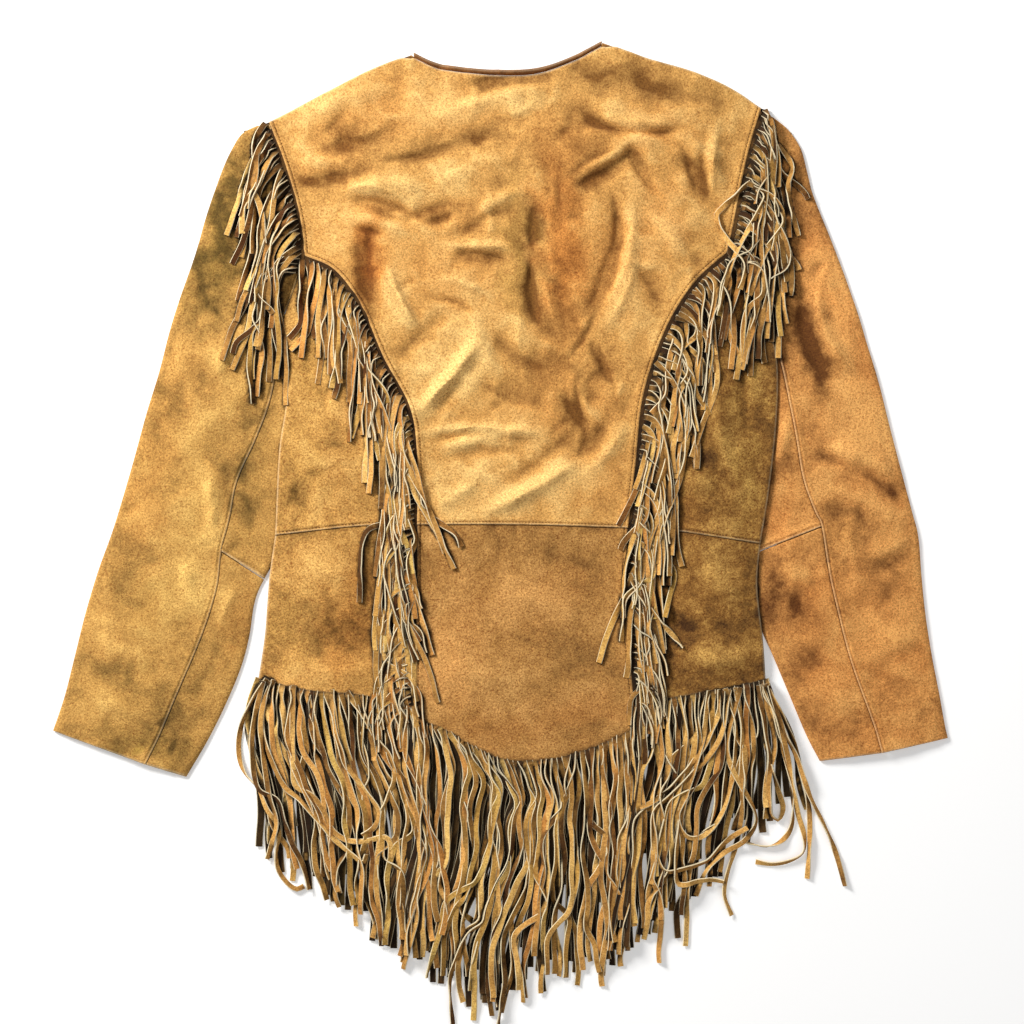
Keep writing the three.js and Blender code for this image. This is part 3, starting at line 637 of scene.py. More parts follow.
@dataclass(frozen=True)
class Hide:
    """The finish of one suede piece: its colours, its grain and how worn it is."""

    name: str
    pale: tuple[float, float, float]
    mid: tuple[float, float, float]
    deep: tuple[float, float, float]
    mottle: float = 0.5
    grain: float = 0.35

    def material(self) -> bpy.types.Material:
        """The node material of this hide."""
        found = bpy.data.materials.get(self.name)
        if found:
            return found
        made = bpy.data.materials.new(self.name)
        made.use_nodes = True
        nodes, links = made.node_tree.nodes, made.node_tree.links
        shader = nodes["Principled BSDF"]
        shader.inputs["Specular IOR Level"].default_value = 0.18
        shader.inputs["Sheen Weight"].default_value = 0.06
        shader.inputs["Sheen Roughness"].default_value = 0.6
        shader.inputs["Sheen Tint"].default_value = (1.0, 0.86, 0.62, 1.0)
        nap = nodes.new("ShaderNodeGroup")
        nap.node_tree = nap_group()
        for key, colour in (("Pale", self.pale), ("Mid", self.mid), ("Deep", self.deep)):
            nap.inputs[key].default_value = (*linear(colour), 1.0)
        nap.inputs["Mottle"].default_value = self.mottle
        nap.inputs["Grain"].default_value = self.grain
        where = nodes.new("ShaderNodeTexCoord")
        links.new(where.outputs["Object"], nap.inputs["Place"])
        for key in ("Tone", "Warmth", "Crease", "Cut", "Painted_Shade"):
            value = nodes.new("ShaderNodeAttribute")
            value.attribute_name = key.lower()
            links.new(value.outputs["Fac"], nap.inputs[key])
        bump = nodes.new("ShaderNodeBump")
        bump.inputs["Strength"].default_value = 0.6
        bump.inputs["Distance"].default_value = 0.0011
        links.new(nap.outputs["Height"], bump.inputs["Height"])
        links.new(bump.outputs["Normal"], shader.inputs["Normal"])
        links.new(nap.outputs["Color"], shader.inputs["Base Color"])
        links.new(nap.outputs["Roughness"], shader.inputs["Roughness"])
        return made


def linear(colour: tuple[float, float, float]) -> tuple[float, ...]:
    """A display colour as linear light."""
    return tuple(c / 12.92 if c <= 0.04045 else ((c + 0.055) / 1.055) ** 2.4 for c in colour)


class GroupMaker:
    """Builds a shader node group with named sockets, a few nodes at a time."""

    def __init__(self, name: str) -> None:
        """Starts an empty group."""
        self.tree = bpy.data.node_groups.new(name, "ShaderNodeTree")
        self.ins = self.tree.nodes.new("NodeGroupInput")
        self.outs = self.tree.nodes.new("NodeGroupOutput")

    def socket(self, name: str, kind: str, output: bool = False, value: float | None = None) -> None:
        """Adds a named input or output socket."""
        way = "OUTPUT" if output else "INPUT"
        made = self.tree.interface.new_socket(name, in_out=way, socket_type=f"NodeSocket{kind}")
        if value is not None:
            made.default_value = value

    def link(self, source: bpy.types.NodeSocket, target: bpy.types.NodeSocket) -> None:
        """Joins two sockets."""
        self.tree.links.new(source, target)

    def noise(self, scale: float, detail: float, rough: float, warp: float = 0.0) -> bpy.types.NodeSocket:
        """Noise at the group's Place, as one number."""
        node = self.tree.nodes.new("ShaderNodeTexNoise")
        node.inputs["Scale"].default_value = scale
        node.inputs["Detail"].default_value = detail
        node.inputs["Roughness"].default_value = rough
        node.inputs["Distortion"].default_value = warp
        self.link(self.ins.outputs["Place"], node.inputs["Vector"])
        return node.outputs["Fac"]

    def math(self, kind: str, a: object, b: object = 0.0, c: object = 0.0, clamp: bool = False) -> bpy.types.NodeSocket:
        """A Math node of numbers or sockets."""
        node = self.tree.nodes.new("ShaderNodeMath")
        node.operation = kind
        node.use_clamp = clamp
        for slot, value in zip(node.inputs, (a, b, c)):
            if isinstance(value, (int, float)):
                slot.default_value = value
            else:
                self.link(value, slot)
        return node.outputs[0]

    def ramp(self, value: object, low: float, high: float) -> bpy.types.NodeSocket:
        """A number taken from low..high to 0..1."""
        node = self.tree.nodes.new("ShaderNodeMapRange")
        node.interpolation_type = "SMOOTHSTEP"
        node.inputs["From Min"].default_value = low
        node.inputs["From Max"].default_value = high
        self.link(value, node.inputs["Value"])
        return node.outputs["Result"]

    def mix(self, share: object, a: object, b: object, kind: str = "MIX") -> bpy.types.NodeSocket:
        """A blend of two colours."""
        node = self.tree.nodes.new("ShaderNodeMix")
        node.data_type = "RGBA"
        node.blend_type = kind
        node.clamp_factor = True
        if isinstance(share, (int, float)):
            node.inputs["Factor"].default_value = share
        else:
            self.link(share, node.inputs["Factor"])
        for key, value in (("A", a), ("B", b)):
            slot = next(s for s in node.inputs if s.name == key and s.type == "RGBA")
            if isinstance(value, tuple):
                slot.default_value = (*value, 1.0)
            else:
                self.link(value, slot)
        return next(s for s in node.outputs if s.type == "RGBA")

    def brighter(self, colour: bpy.types.NodeSocket, times: bpy.types.NodeSocket) -> bpy.types.NodeSocket:
        """A colour with its brightness multiplied."""
        node = self.tree.nodes.new("ShaderNodeHueSaturation")
        self.link(colour, node.inputs["Color"])
        self.link(times, node.inputs["Value"])
        return node.outputs["Color"]


def nap_group() -> bpy.types.NodeTree:
    """The suede's nap: its mottled colour, speckled grain and pale cut edges, with painted light: painted highlight and
    shade of its creases, painted highlights along rounded edges and painted shade where it lies deep under strips.
    """
    found = bpy.data.node_groups.get("suede_nap")
    if found:
        return found
    g = GroupMaker("suede_nap")
    g.socket("Place", "Vector")
    for name in ("Pale", "Mid", "Deep"):
        g.socket(name, "Color")
    for name in ("Tone", "Warmth", "Crease", "Cut", "Painted_Shade"):
        g.socket(name, "Float", value=0.0)
    for name, value in (("Mottle", 0.5), ("Grain", 0.35)):
        g.socket(name, "Float", value=value)
    g.socket("Color", "Color", output=True)
    g.socket("Roughness", "Float", output=True)
    g.socket("Height", "Float", output=True)
    i = g.ins.outputs
    cloud = g.ramp(g.noise(15.0, 5.0, 0.62, 0.6), 0.33, 0.7)
    blotch = g.ramp(g.noise(42.0, 4.0, 0.6, 0.4), 0.3, 0.72)
    dapple = g.math("MULTIPLY", g.math("SUBTRACT", g.noise(120.0, 5.0, 0.7, 0.3), 0.5), 2.6)
    nap = g.noise(540.0, 3.0, 0.8)
    speck = g.noise(900.0, 2.0, 0.6)
    wide = g.math("ADD", g.math("SUBTRACT", g.math("ADD", cloud, blotch), 1.0), dapple)
    swing = g.math("MULTIPLY", wide, i["Mottle"])
    level = g.math("ADD", g.math("MULTIPLY", i["Tone"], 0.95), swing)
    # Painted highlight on crease ridges and painted shade in crease troughs, taken from the relief's height.
    level = g.math("ADD", level, g.math("MULTIPLY", i["Crease"], 0.7))
    light = g.math("MULTIPLY", level, 1.0, clamp=True)
    dark = g.math("MULTIPLY", level, -1.0, clamp=True)
    colour = g.mix(light, i["Mid"], i["Pale"])
    colour = g.mix(dark, colour, i["Deep"])
    warm = g.math("MULTIPLY", i["Warmth"], 0.7, clamp=True)
    green = g.math("MULTIPLY", i["Warmth"], -0.8, clamp=True)
    colour = g.mix(warm, colour, g.mix(1.0, colour, linear((1.0, 0.8, 0.62)), "MULTIPLY"))
    colour = g.mix(green, colour, g.mix(1.0, colour, linear((0.88, 0.93, 0.8)), "MULTIPLY"))
    grainy = g.math("ADD", g.math("MULTIPLY", nap, 0.9), g.math("MULTIPLY", speck, 0.45))
    grain = g.math("MULTIPLY", g.math("SUBTRACT", grainy, 0.675), i["Grain"])
    raised = g.math("MULTIPLY", grain, 1.0, clamp=True)
    sunk = g.math("MULTIPLY", grain, -10.5, clamp=True)
    colour = g.brighter(colour, g.math("MULTIPLY_ADD", raised, 6.0, 1.0))
    colour = g.mix(sunk, colour, g.mix(1.0, colour, linear((0.72, 0.56, 0.42)), "MULTIPLY"))
    # Pale cream: the real colour of the strips' cut edges; on panel edges and the binding it is a painted highlight.
    colour = g.mix(i["Cut"], colour, linear((0.99, 0.93, 0.78)))
    # Painted shade: the colour is darkened towards near-black where strips bury or crowd the surface, a little less on
    # pale edges.
    hidden = g.math("MULTIPLY", i["Painted_Shade"], g.math("MULTIPLY_ADD", i["Cut"], -0.62, 0.97))
    colour = g.mix(hidden, colour, linear((0.10, 0.06, 0.025)))
    g.link(colour, g.outs.inputs["Color"])
    g.link(g.math("MULTIPLY_ADD", nap, 0.16, 0.8), g.outs.inputs["Roughness"])
    g.link(g.math("MULTIPLY_ADD", speck, 0.6, nap), g.outs.inputs["Height"])
    return g.tree


BACK_HIDE = Hide("hide_back", (0.97, 0.80, 0.50), (0.85, 0.64, 0.35), (0.50, 0.33, 0.14), 0.40, 0.42)
TAIL_HIDE = Hide("hide_tail", (0.85, 0.65, 0.38), (0.70, 0.51, 0.27), (0.42, 0.28, 0.12), 0.58, 0.5)
LEFT_SIDE_HIDE = Hide("hide_side_left", (0.92, 0.73, 0.42), (0.79, 0.59, 0.31), (0.42, 0.30, 0.12), 0.6, 0.5)
RIGHT_SIDE_HIDE = Hide("hide_side_right", (0.80, 0.62, 0.33), (0.58, 0.41, 0.19), (0.30, 0.19, 0.08), 0.85, 0.55)
LEFT_HIDE = Hide("hide_sleeve_left", (0.92, 0.74, 0.42), (0.78, 0.59, 0.31), (0.40, 0.30, 0.13), 0.46, 0.42)
RIGHT_HIDE = Hide("hide_sleeve_right", (0.98, 0.74, 0.43), (0.84, 0.59, 0.32), (0.42, 0.25, 0.10), 0.5, 0.42)
FRONT_HIDE = Hide("hide_front", (0.78, 0.60, 0.34), (0.64, 0.46, 0.24), (0.42, 0.28, 0.12), 0.3)
BINDING_HIDE = Hide("hide_binding", (0.70, 0.50, 0.28), (0.52, 0.34, 0.17), (0.28, 0.17, 0.07), 0.3)
STRIP_HIDE = Hide("hide_strip", (0.96, 0.78, 0.46), (0.82, 0.61, 0.32), (0.34, 0.21, 0.08), 0.36, 0.36)
THREAD = Hide("thread", (0.55, 0.37, 0.17), (0.40, 0.25, 0.10), (0.25, 0.14, 0.05), 0.2)


# ---------------------------------------------------------------- meshes


def through(points: Array, per: int) -> Array:
    """A smooth curve through every row of points, with the same number of steps between rows."""
    p = np.vstack([2 * points[0] - points[1], points, 2 * points[-1] - points[-2]])
    t = np.linspace(0, 1, per, endpoint=False)[:, None]
    runs = [
        0.5 * (2 * b + (c - a) * t + (2 * a - 5 * b + 4 * c - d) * t**2 + (3 * b - a - 3 * c + d) * t**3)
        for a, b, c, d in zip(p, p[1:], p[2:], p[3:])
    ]
    return np.vstack([*runs, points[-1:]])


def deselect() -> None:
    """Leaves nothing selected and nothing active."""
    for each in bpy.context.selected_objects:
        each.select_set(False)
    bpy.context.view_layer.objects.active = None


def apply_modifier(piece: bpy.types.Object, kind: str, **settings: object) -> None:
    """Adds a modifier to a piece and applies it."""
    deselect()
    bpy.context.view_layer.objects.active = piece
    piece.select_set(True)
    made = piece.modifiers.new(kind.lower(), kind)
    for key, value in settings.items():
        setattr(made, key, value)
    bpy.ops.object.modifier_apply(modifier=made.name)


def paint(piece: bpy.types.Object, name: str, values: Array, domain: str = "POINT") -> None:
    """Writes one number per vertex or face for the material to read."""
    layer = piece.data.attributes.new(name, "FLOAT", domain)
    layer.data.foreach_set("value", np.asarray(values, np.float32).ravel())


def grid_piece(name: str, points: Array) -> bpy.types.Object:
    """A sheet from a primitive grid, its vertices moved to rows of points in millimetres."""
    rows, columns, _ = points.shape
    deselect()
    bpy.ops.mesh.primitive_grid_add(x_subdivisions=columns - 1, y_subdivisions=rows - 1, size=2)
    piece = bpy.context.object
    piece.name = piece.data.name = name
    flat = np.zeros(rows * columns * 3, np.float32)
    piece.data.vertices.foreach_get("co", flat)
    flat = flat.reshape(-1, 3)
    i = np.rint((flat[:, 0] + 1) / 2 * (columns - 1)).astype(int)
    j = np.rint((flat[:, 1] + 1) / 2 * (rows - 1)).astype(int)
    piece.data.vertices.foreach_set("co", (points[j, i] * MM).astype(np.float32).ravel())
    piece.data.update()
    piece["order"] = (j * columns + i).tolist()
    return piece


def finish_sheet(
    piece: bpy.types.Object, channels: dict[str, Array], outward: float, hide: Hide, slot: str, node: str,
) -> bpy.types.Object:
    """Paints a sheet, makes it a wall, rounds its rim and places it in the jacket.

    Args:
        piece: A sheet from grid_piece.
        channels: Numbers for the material at each point of the grid.
        outward: 1 if the grid's own normals face out, else -1.
        hide: Its finish.
        slot: Its slot in the record; not used.
        node: The solid that it stands for.

    Returns:
        The finished piece.
    """
    order = np.array(piece["order"])
    del piece["order"]
    if outward < 0:
        piece.data.flip_normals()
    for key, values in channels.items():
        paint(piece, key, values.ravel()[order])
    apply_modifier(piece, "SOLIDIFY", thickness=WALL * MM, offset=-1.0, use_even_offset=False)
    apply_modifier(
        piece, "BEVEL", width=0.35 * MM, segments=2, limit_method="ANGLE", angle_limit=math.radians(55),
    )
    piece.data.polygons.foreach_set("use_smooth", np.ones(len(piece.data.polygons), bool))
    piece.data.update()
    piece.data.materials.append(hide.material())
    ride_as(piece, slot, node)
    return piece


def array_piece(name: str, points: Array, faces: list[list[int]], smooth_faces: bool = True) -> bpy.types.Object:
    """A piece of joined small meshes from vertices in millimetres and faces."""
    made = bpy.data.meshes.new(name)
    made.from_pydata((points * MM).tolist(), [], faces)
    made.polygons.foreach_set("use_smooth", np.full(len(faces), smooth_faces))
    made.update()
    piece = bpy.data.objects.new(name, made)
    bpy.context.scene.collection.objects.link(piece)
    return piece


@dataclass(frozen=True)
class EdgeFinish:
    """How one edge of a panel is made."""

    lift: float = 0.0
    reach: float = 7.0
    drop: float = 1.1
    round_over: float = 2.2
    rows: tuple[float, ...] = ()
    # Strength of a painted highlight along the rounded edge.
    pale: float = 0.0
    shade: float = 0.0

    def height(self, d: Array) -> Array:
        """Height added at each distance in from the edge."""
        t = np.clip(d / self.round_over, 0, 1)
        total = self.lift * np.exp(-((d / self.reach) ** 2)) - self.drop * (1 - np.sqrt(1 - (1 - t) ** 2))
        for row in self.rows:
            total -= 0.42 * np.exp(-(((d - row) / 0.8) ** 2))
            total += 0.22 * np.exp(-(((d - row - 2.2) / 1.3) ** 2))
        return total

    def bare(self, d: Array) -> Array:
        """How pale the edge is painted at each distance in from it: a painted highlight along the rounded edge."""
        return self.pale * np.exp(-(((d - 0.7) / 0.75) ** 2))

    def dark(self, d: Array) -> Array:
        """Shade at each distance: along stitch rows and in the seam."""
        total = self.shade * np.exp(-d / 2.0)
        for row in self.rows:
            total -= 0.5 * np.exp(-(((d - row) / 0.7) ** 2))
        return total


TURNED = EdgeFinish(lift=1.7, reach=6.0, drop=1.1, rows=(3.4,), pale=0.1, shade=-0.15)
LAPPED = EdgeFinish(lift=1.0, reach=6.5, drop=0.8, rows=(2.6,), pale=0.32)
UNDER = EdgeFinish(lift=0.0, drop=1.3, round_over=2.0, shade=-1.0)
SIDE_FOLD = EdgeFinish(lift=0.0, drop=1.6, round_over=4.5, pale=0.35)
HEMMED = EdgeFinish(lift=0.0, drop=0.7, pale=0.12, shade=-0.25)
PLAIN = EdgeFinish(drop=0.5)


def spaced(width: float, cell: float, fine: bool = True) -> Array:
    """Shares 0 to 1 across a width, close together near both ends."""
    near = np.array([0.0, 0.45, 0.95, 1.5, 2.2, 2.9, 3.5, 4.2, 5.0, 5.9, 7.0]) if fine else np.array([0.0])
    inner = max(2, int((width - 2 * near[-1]) / cell))
    middle = np.linspace(near[-1], width - near[-1], inner + 1)
    return np.concatenate([near[:-1], middle, (width - near[:-1])[::-1]]) / width


@dataclass
class PanelCut:
    """One panel of the back or front, its outline as four edges in order of their finish."""

    name: str
    node: str
    slot: str
    hide: Hide
    tint: Tint
    top: Array
    bottom: Array
    left: Array
    right: Array
    finishes: tuple[EdgeFinish, EdgeFinish, EdgeFinish, EdgeFinish]
    cell: float = 2.6
    is_front: bool = False
    raise_all: float = 0.0

    def points(self) -> tuple[Array, Array]:
        """The x and y of each point of the panel's grid."""
        wide = max(length_of(self.top), length_of(self.bottom))
        tall = max(length_of(self.left), length_of(self.right))
        u = spaced(wide, self.cell)[None, :]
        v = spaced(tall, self.cell)[:, None]
        left, right = rail_at(self.left, v[:, 0])[:, None], rail_at(self.right, v[:, 0])[:, None]
        top, bottom = rail_at(self.top, u[0])[None], rail_at(self.bottom, u[0])[None]
        u, v = u[..., None], v[..., None]
        corners = (
            (1 - u) * (1 - v) * self.top[0] + u * (1 - v) * self.top[-1]
            + (1 - u) * v * self.bottom[0] + u * v * self.bottom[-1]
        )
        p = (1 - u) * left + u * right + (1 - v) * top + v * bottom - corners
        return p[..., 0], p[..., 1]

    def build(self) -> bpy.types.Object:
        """Makes the panel."""
        x, y = self.points()
        edges = [distance_to(e, x, y) for e in (self.top, self.right, self.bottom, self.left)]
        if self.is_front:
            z = tuck_lift(x, y) + WALL + 0.7 + 0.15 * (1 + ripple(x, y, 60, 21))
            relief = np.zeros(x.shape)
        else:
            relief = back_relief(x, y)
            z = back_top(x, y) + self.raise_all
        bare, dark = np.zeros(x.shape), np.zeros(x.shape)
        for d, finish in zip(edges, self.finishes):
            z = z + finish.height(d)
            # Painted highlight along the rounded edges.
            bare = np.maximum(bare, finish.bare(d) * (0.75 + 0.25 * ripple(x, y, 16, 31)))
            dark = dark + finish.dark(d)
            if finish.rows:
                z = z + 0.4 * ripple(x, y, 15, 33) * np.exp(-d / 8.0) * smooth(0, 3, d)
        light, warm = self.tint.at(x, y)
        piece = grid_piece(self.name, np.stack([x, y, z], axis=-1))
        channels = {
            "tone": light + dark,
            "warmth": warm,
            # crease: painted highlight on ridges and painted shade in troughs; cut: painted edge highlight.
            "crease": np.clip(relief / 2.6, -1, 1),
            "cut": np.clip(bare, 0, 1),
        }
        outward = -1.0 if self.left[0, 0] < self.right[0, 0] else 1.0
        return finish_sheet(piece, channels, outward, self.hide, self.slot, self.node)


def ride_as(piece: bpy.types.Object, slot: str, *nodes: str) -> None:
    """A piece rides the jacket and stands for its solids."""
    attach(piece, "root")
    if nodes:
        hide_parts(*nodes)


class SleeveTube:
    """A sleeve pressed flat: its outer fold, back seam and inner fold, row by row from the shoulder."""

    PER = 7
    HEAD = ARMHOLE_ROWS + UNDERARM_ROWS

    def __init__(self, side: Side) -> None:
        """Lays out one sleeve."""
        self.side = side
        cut = CUTS[side]
        seam = joined(line(cut.armhole, ARMHOLE_ROWS), line(cut.underarm, UNDERARM_ROWS))
        head = line(cut.head, self.HEAD)
        rows = np.array(cut.sections, float)
        self.outer = through(np.vstack([head[:-1], rows[:, 0:2]]), self.PER)
        self.seam = through(np.vstack([seam[:-1], rows[:, 2:4]]), self.PER)
        self.inner = through(np.vstack([seam[:-1], rows[:, 4:6]]), self.PER)
        self.upper = np.linalg.norm(self.seam - self.outer, axis=1)
        self.width = self.upper + np.linalg.norm(self.inner - self.seam, axis=1)
        self.row = np.arange(len(self.outer)) / self.PER

    def place(self, row: Array, d: Array) -> tuple[Array, Array]:
        """X and y at a distance from the outer fold, on each row of the sleeve."""
        at = lambda values: np.interp(row, self.row, values)
        upper, width = at(self.upper), at(self.width)
        on = []
        for k in range(2):
            a, b, c = at(self.outer[:, k]), at(self.seam[:, k]), at(self.inner[:, k])
            past = np.clip((d - upper) / np.maximum(1e-6, width - upper), 0, 1.2)
            on.append(np.where(d <= upper, a + (b - a) * d / upper, b + (c - b) * past))
        return on[0], on[1]

    def top(self, row: Array, d: Array) -> tuple[Array, Array, Array, Array]:
        """X, y, height of the upper face and its relief at a distance from the outer fold."""
        upper, width = np.interp(row, self.row, self.upper), np.interp(row, self.row, self.width)
        x, y = self.place(row, d)
        tube = smooth(self.HEAD - 1.0, self.HEAD + 1.0, row)
        free = smooth(self.HEAD + 4.5, self.HEAD + 7.5, row)
        span = (1 - tube) * 1.0 + tube * (0.74 + 0.26 * free)
        share = np.clip(d / np.where(tube > 0, width, upper) / span, 0, 1)
        arch = np.sin(np.pi * share)
        lump = np.sqrt(np.maximum(0, arch))
        small = 0.4 * ripple(x, y, 42, 5) + 0.16 * ripple(x, y, 17, 6)
        relief = 1.45 * SLEEVE_FIELD.height(x, y) + small + 1.2 * ridged(x, y, 74, 9) + 0.8 * ridged(x, y, 32, 10)
        tucked = 1 - 0.75 * (1 - free) * tube * smooth(0.74, 0.86, d / width)
        edge = smooth(0, 16, d) * (1 - free + free * smooth(0, 12, width - d)) * tucked
        raised = (SLEEVE_CROWN + 1.2) * (0.5 * arch + 0.5 * lump) * smooth(20, 90, width) + relief * edge
        z = FLAT_HEIGHT - 0.4 + 0.5 * (raised + np.sqrt(raised * raised + 0.5))
        return x, y, z, relief * edge


@dataclass
class SleevePanel:
    """One piece of a sleeve, from a seam round a fold to the other seam."""

    name: str
    node: str
    slot: str
    hide: Hide
    tube: SleeveTube
    is_upper: bool
    first: float
    last: float
    flat_seam: float = FRONT_SEAM

    def build(self) -> bpy.types.Object:
        """Makes the piece."""
        tube = self.tube
        length = (self.last - self.first) * 26.0
        row = (self.first + (self.last - self.first) * spaced(length, 3.0 if self.is_upper else 4.2))[:, None]
        upper, width = np.interp(row, tube.row, tube.upper), np.interp(row, tube.row, tube.width)
        head = 1 - smooth(tube.HEAD - 1.0, tube.HEAD, row)
        front = head * upper + (1 - head) * width * self.flat_seam
        across = spaced(110.0, 2.4)[None, :] if self.is_upper else spaced(60.0, 3.2)[None, :]
        over, under = 7.0, 3.0
        turn = np.linspace(0, math.pi / 2, 8)[None, 1:]
        below = np.linspace(0, 1, 9)[None, 1:]
        if self.is_upper:
            d_top = upper * (1 - across) + over * across
            sign, origin = 1.0, np.zeros_like(row)
            d_low = under + (front - under) * below
            to_seam = d_top - upper
        else:
            d_top = upper * (1 - across) + (width - over) * across
            sign, origin = -1.0, width
            d_low = (width - under) + (front - width + under) * below
            to_seam = d_top - upper
        x, y, z, relief = tube.top(row, d_top)
        d_roll = origin + sign * over * (1 - np.sin(turn))
        _, _, z_over, _ = tube.top(row, origin + sign * over * np.ones_like(row))
        middle = FLAT_HEIGHT / 2
        xr, yr = tube.place(row, np.clip(d_roll, 0, None))
        zr = middle + (z_over - middle) * np.cos(turn)
        xt, yt = tube.place(row, origin + sign * under * (1 - np.cos(turn)))
        zt = middle - (middle - 0.05) * np.sin(turn) + np.zeros_like(row)
        xl, yl = tube.place(row, d_low)
        zl = 0.05 + np.zeros_like(xl)
        seam = TOP_SEAM if self.is_upper else UNDER_SEAM
        gap = np.abs(to_seam)
        z = z + seam.height(gap)
        merge = lambda *parts: np.concatenate([np.broadcast_to(p, (len(row), p.shape[1])) for p in parts], axis=1)
        px, py, pz = merge(x, xr, xt, xl), merge(y, yr, yt, yl), merge(z, zr, zt, zl)
        rel = merge(relief, np.zeros_like(xr), np.zeros_like(xt), np.zeros_like(xl))
        # Painted highlight along the seam and cuff edges.
        pale = merge(seam.bare(gap), np.zeros_like(xr), np.zeros_like(xt), np.zeros_like(xl))
        shade = merge(seam.dark(gap), np.zeros_like(xr), np.zeros_like(xt), np.zeros_like(xl))
        ends = (row - self.first) * 26.0, (self.last - row) * 26.0
        start, stop = (PLAIN, CUFF) if self.last > tube.HEAD + 11 else (PLAIN, LAPPED)
        on_top = merge(np.ones_like(x), np.cos(turn) + 0 * xr, np.zeros_like(xt), np.zeros_like(xl))
        for d, finish in zip(ends, (start, stop)):
            pz = pz + finish.height(d) * on_top
            pale = np.maximum(pale, finish.bare(d) * on_top)
            shade = shade + finish.dark(d) * on_top
        light, warm = SLEEVE_TINT.at(px, py)
        piece = grid_piece(self.name, np.stack([px, py, pz], axis=-1))
        channels = {
            "tone": light + shade,
            "warmth": warm,
            # crease: painted highlight on ridges and painted shade in troughs; cut: painted edge highlight.
            "crease": np.clip(rel / 3.0, -1, 1),
            "cut": np.clip(pale, 0, 1),
        }
        facing = self.tube.side.out * (-1.0 if self.is_upper else 1.0)
        return finish_sheet(piece, channels, facing, self.hide, self.slot, self.node)


TOP_SEAM = EdgeFinish(lift=0.8, reach=5.0, drop=0.9, rows=(2.6,), pale=0.2, shade=-0.1)
UNDER_SEAM = EdgeFinish(lift=0.0, drop=1.0, round_over=1.8, shade=-0.5)
CUFF = EdgeFinish(lift=0.3, drop=0.8, rows=(8.5,), pale=0.25)


# ---------------------------------------------------------------- fringe


class HeightMap:
    """The height of what lies on the ground so far, on a grid."""

    CELL = 1.5
    LOW = (-460.0, -500.0)
    COUNT = (614, 674)

    def __init__(self) -> None:
        """Starts from bare ground."""
        self.z = np.zeros(self.COUNT, np.float64)

    def cast(self, pieces: list[bpy.types.Object]) -> None:
        """Takes in the upper faces of pieces, looking straight down."""
        points, faces = [], []
        for piece in pieces:
            start = len(points)
            points.extend([tuple(v.co) for v in piece.data.vertices])
            faces.extend([tuple(start + k for k in p.vertices) for p in piece.data.polygons])
        tree = BVHTree.FromPolygons(points, faces)
        down = Vector((0, 0, -1))
        step = 2
        nx, ny = (len(range(0, n, step)) for n in self.COUNT)
        coarse = np.zeros((nx, ny))
        for i in range(nx):
            x = (self.LOW[0] + (i * step + 0.5) * self.CELL) * MM
            for j in range(ny):
                y = (self.LOW[1] + (j * step + 0.5) * self.CELL) * MM
                hit = tree.ray_cast(Vector((x, y, 0.1)), down)[0]
                if hit is not None:
                    coarse[i, j] = hit.z / MM
        full = np.repeat(np.repeat(coarse, step, axis=0), step, axis=1)
        self.z = np.maximum(self.z, full[: self.COUNT[0], : self.COUNT[1]])

    def cells(self, x: Array, y: Array) -> tuple[Array, Array]:
        """The cell that each place is in."""
        i = ((x - self.LOW[0]) / self.CELL).astype(int)
        j = ((y - self.LOW[1]) / self.CELL).astype(int)
        return np.clip(i, 0, self.COUNT[0] - 1), np.clip(j, 0, self.COUNT[1] - 1)

    def at(self, x: Array, y: Array) -> Array:
        """The height at each place."""
        return self.z[self.cells(x, y)]

    def softened(self) -> Array:
        """The height averaged over a small square round each cell."""
        total = self.z.copy()
        for _ in range(2):
            for axis in (0, 1):
                total = (np.roll(total, -1, axis) + total + np.roll(total, 1, axis)) / 3
        return total

    def add(self, x: Array, y: Array, z: Array) -> None:
        """Raises the ground to a height at each place."""
        np.maximum.at(self.z, self.cells(x, y), z)


@dataclass
class Strip:
    """One strip of fringe: where it lies, how it rolls and its shade."""

    path: Array
    roll: Array
    width: float = STRIP_WIDTH
    shade: float = 0.0
    warmth: float = 0.0
    root_z: float | None = None
    painted_shade: float = 0.0
    step: float = 3.6


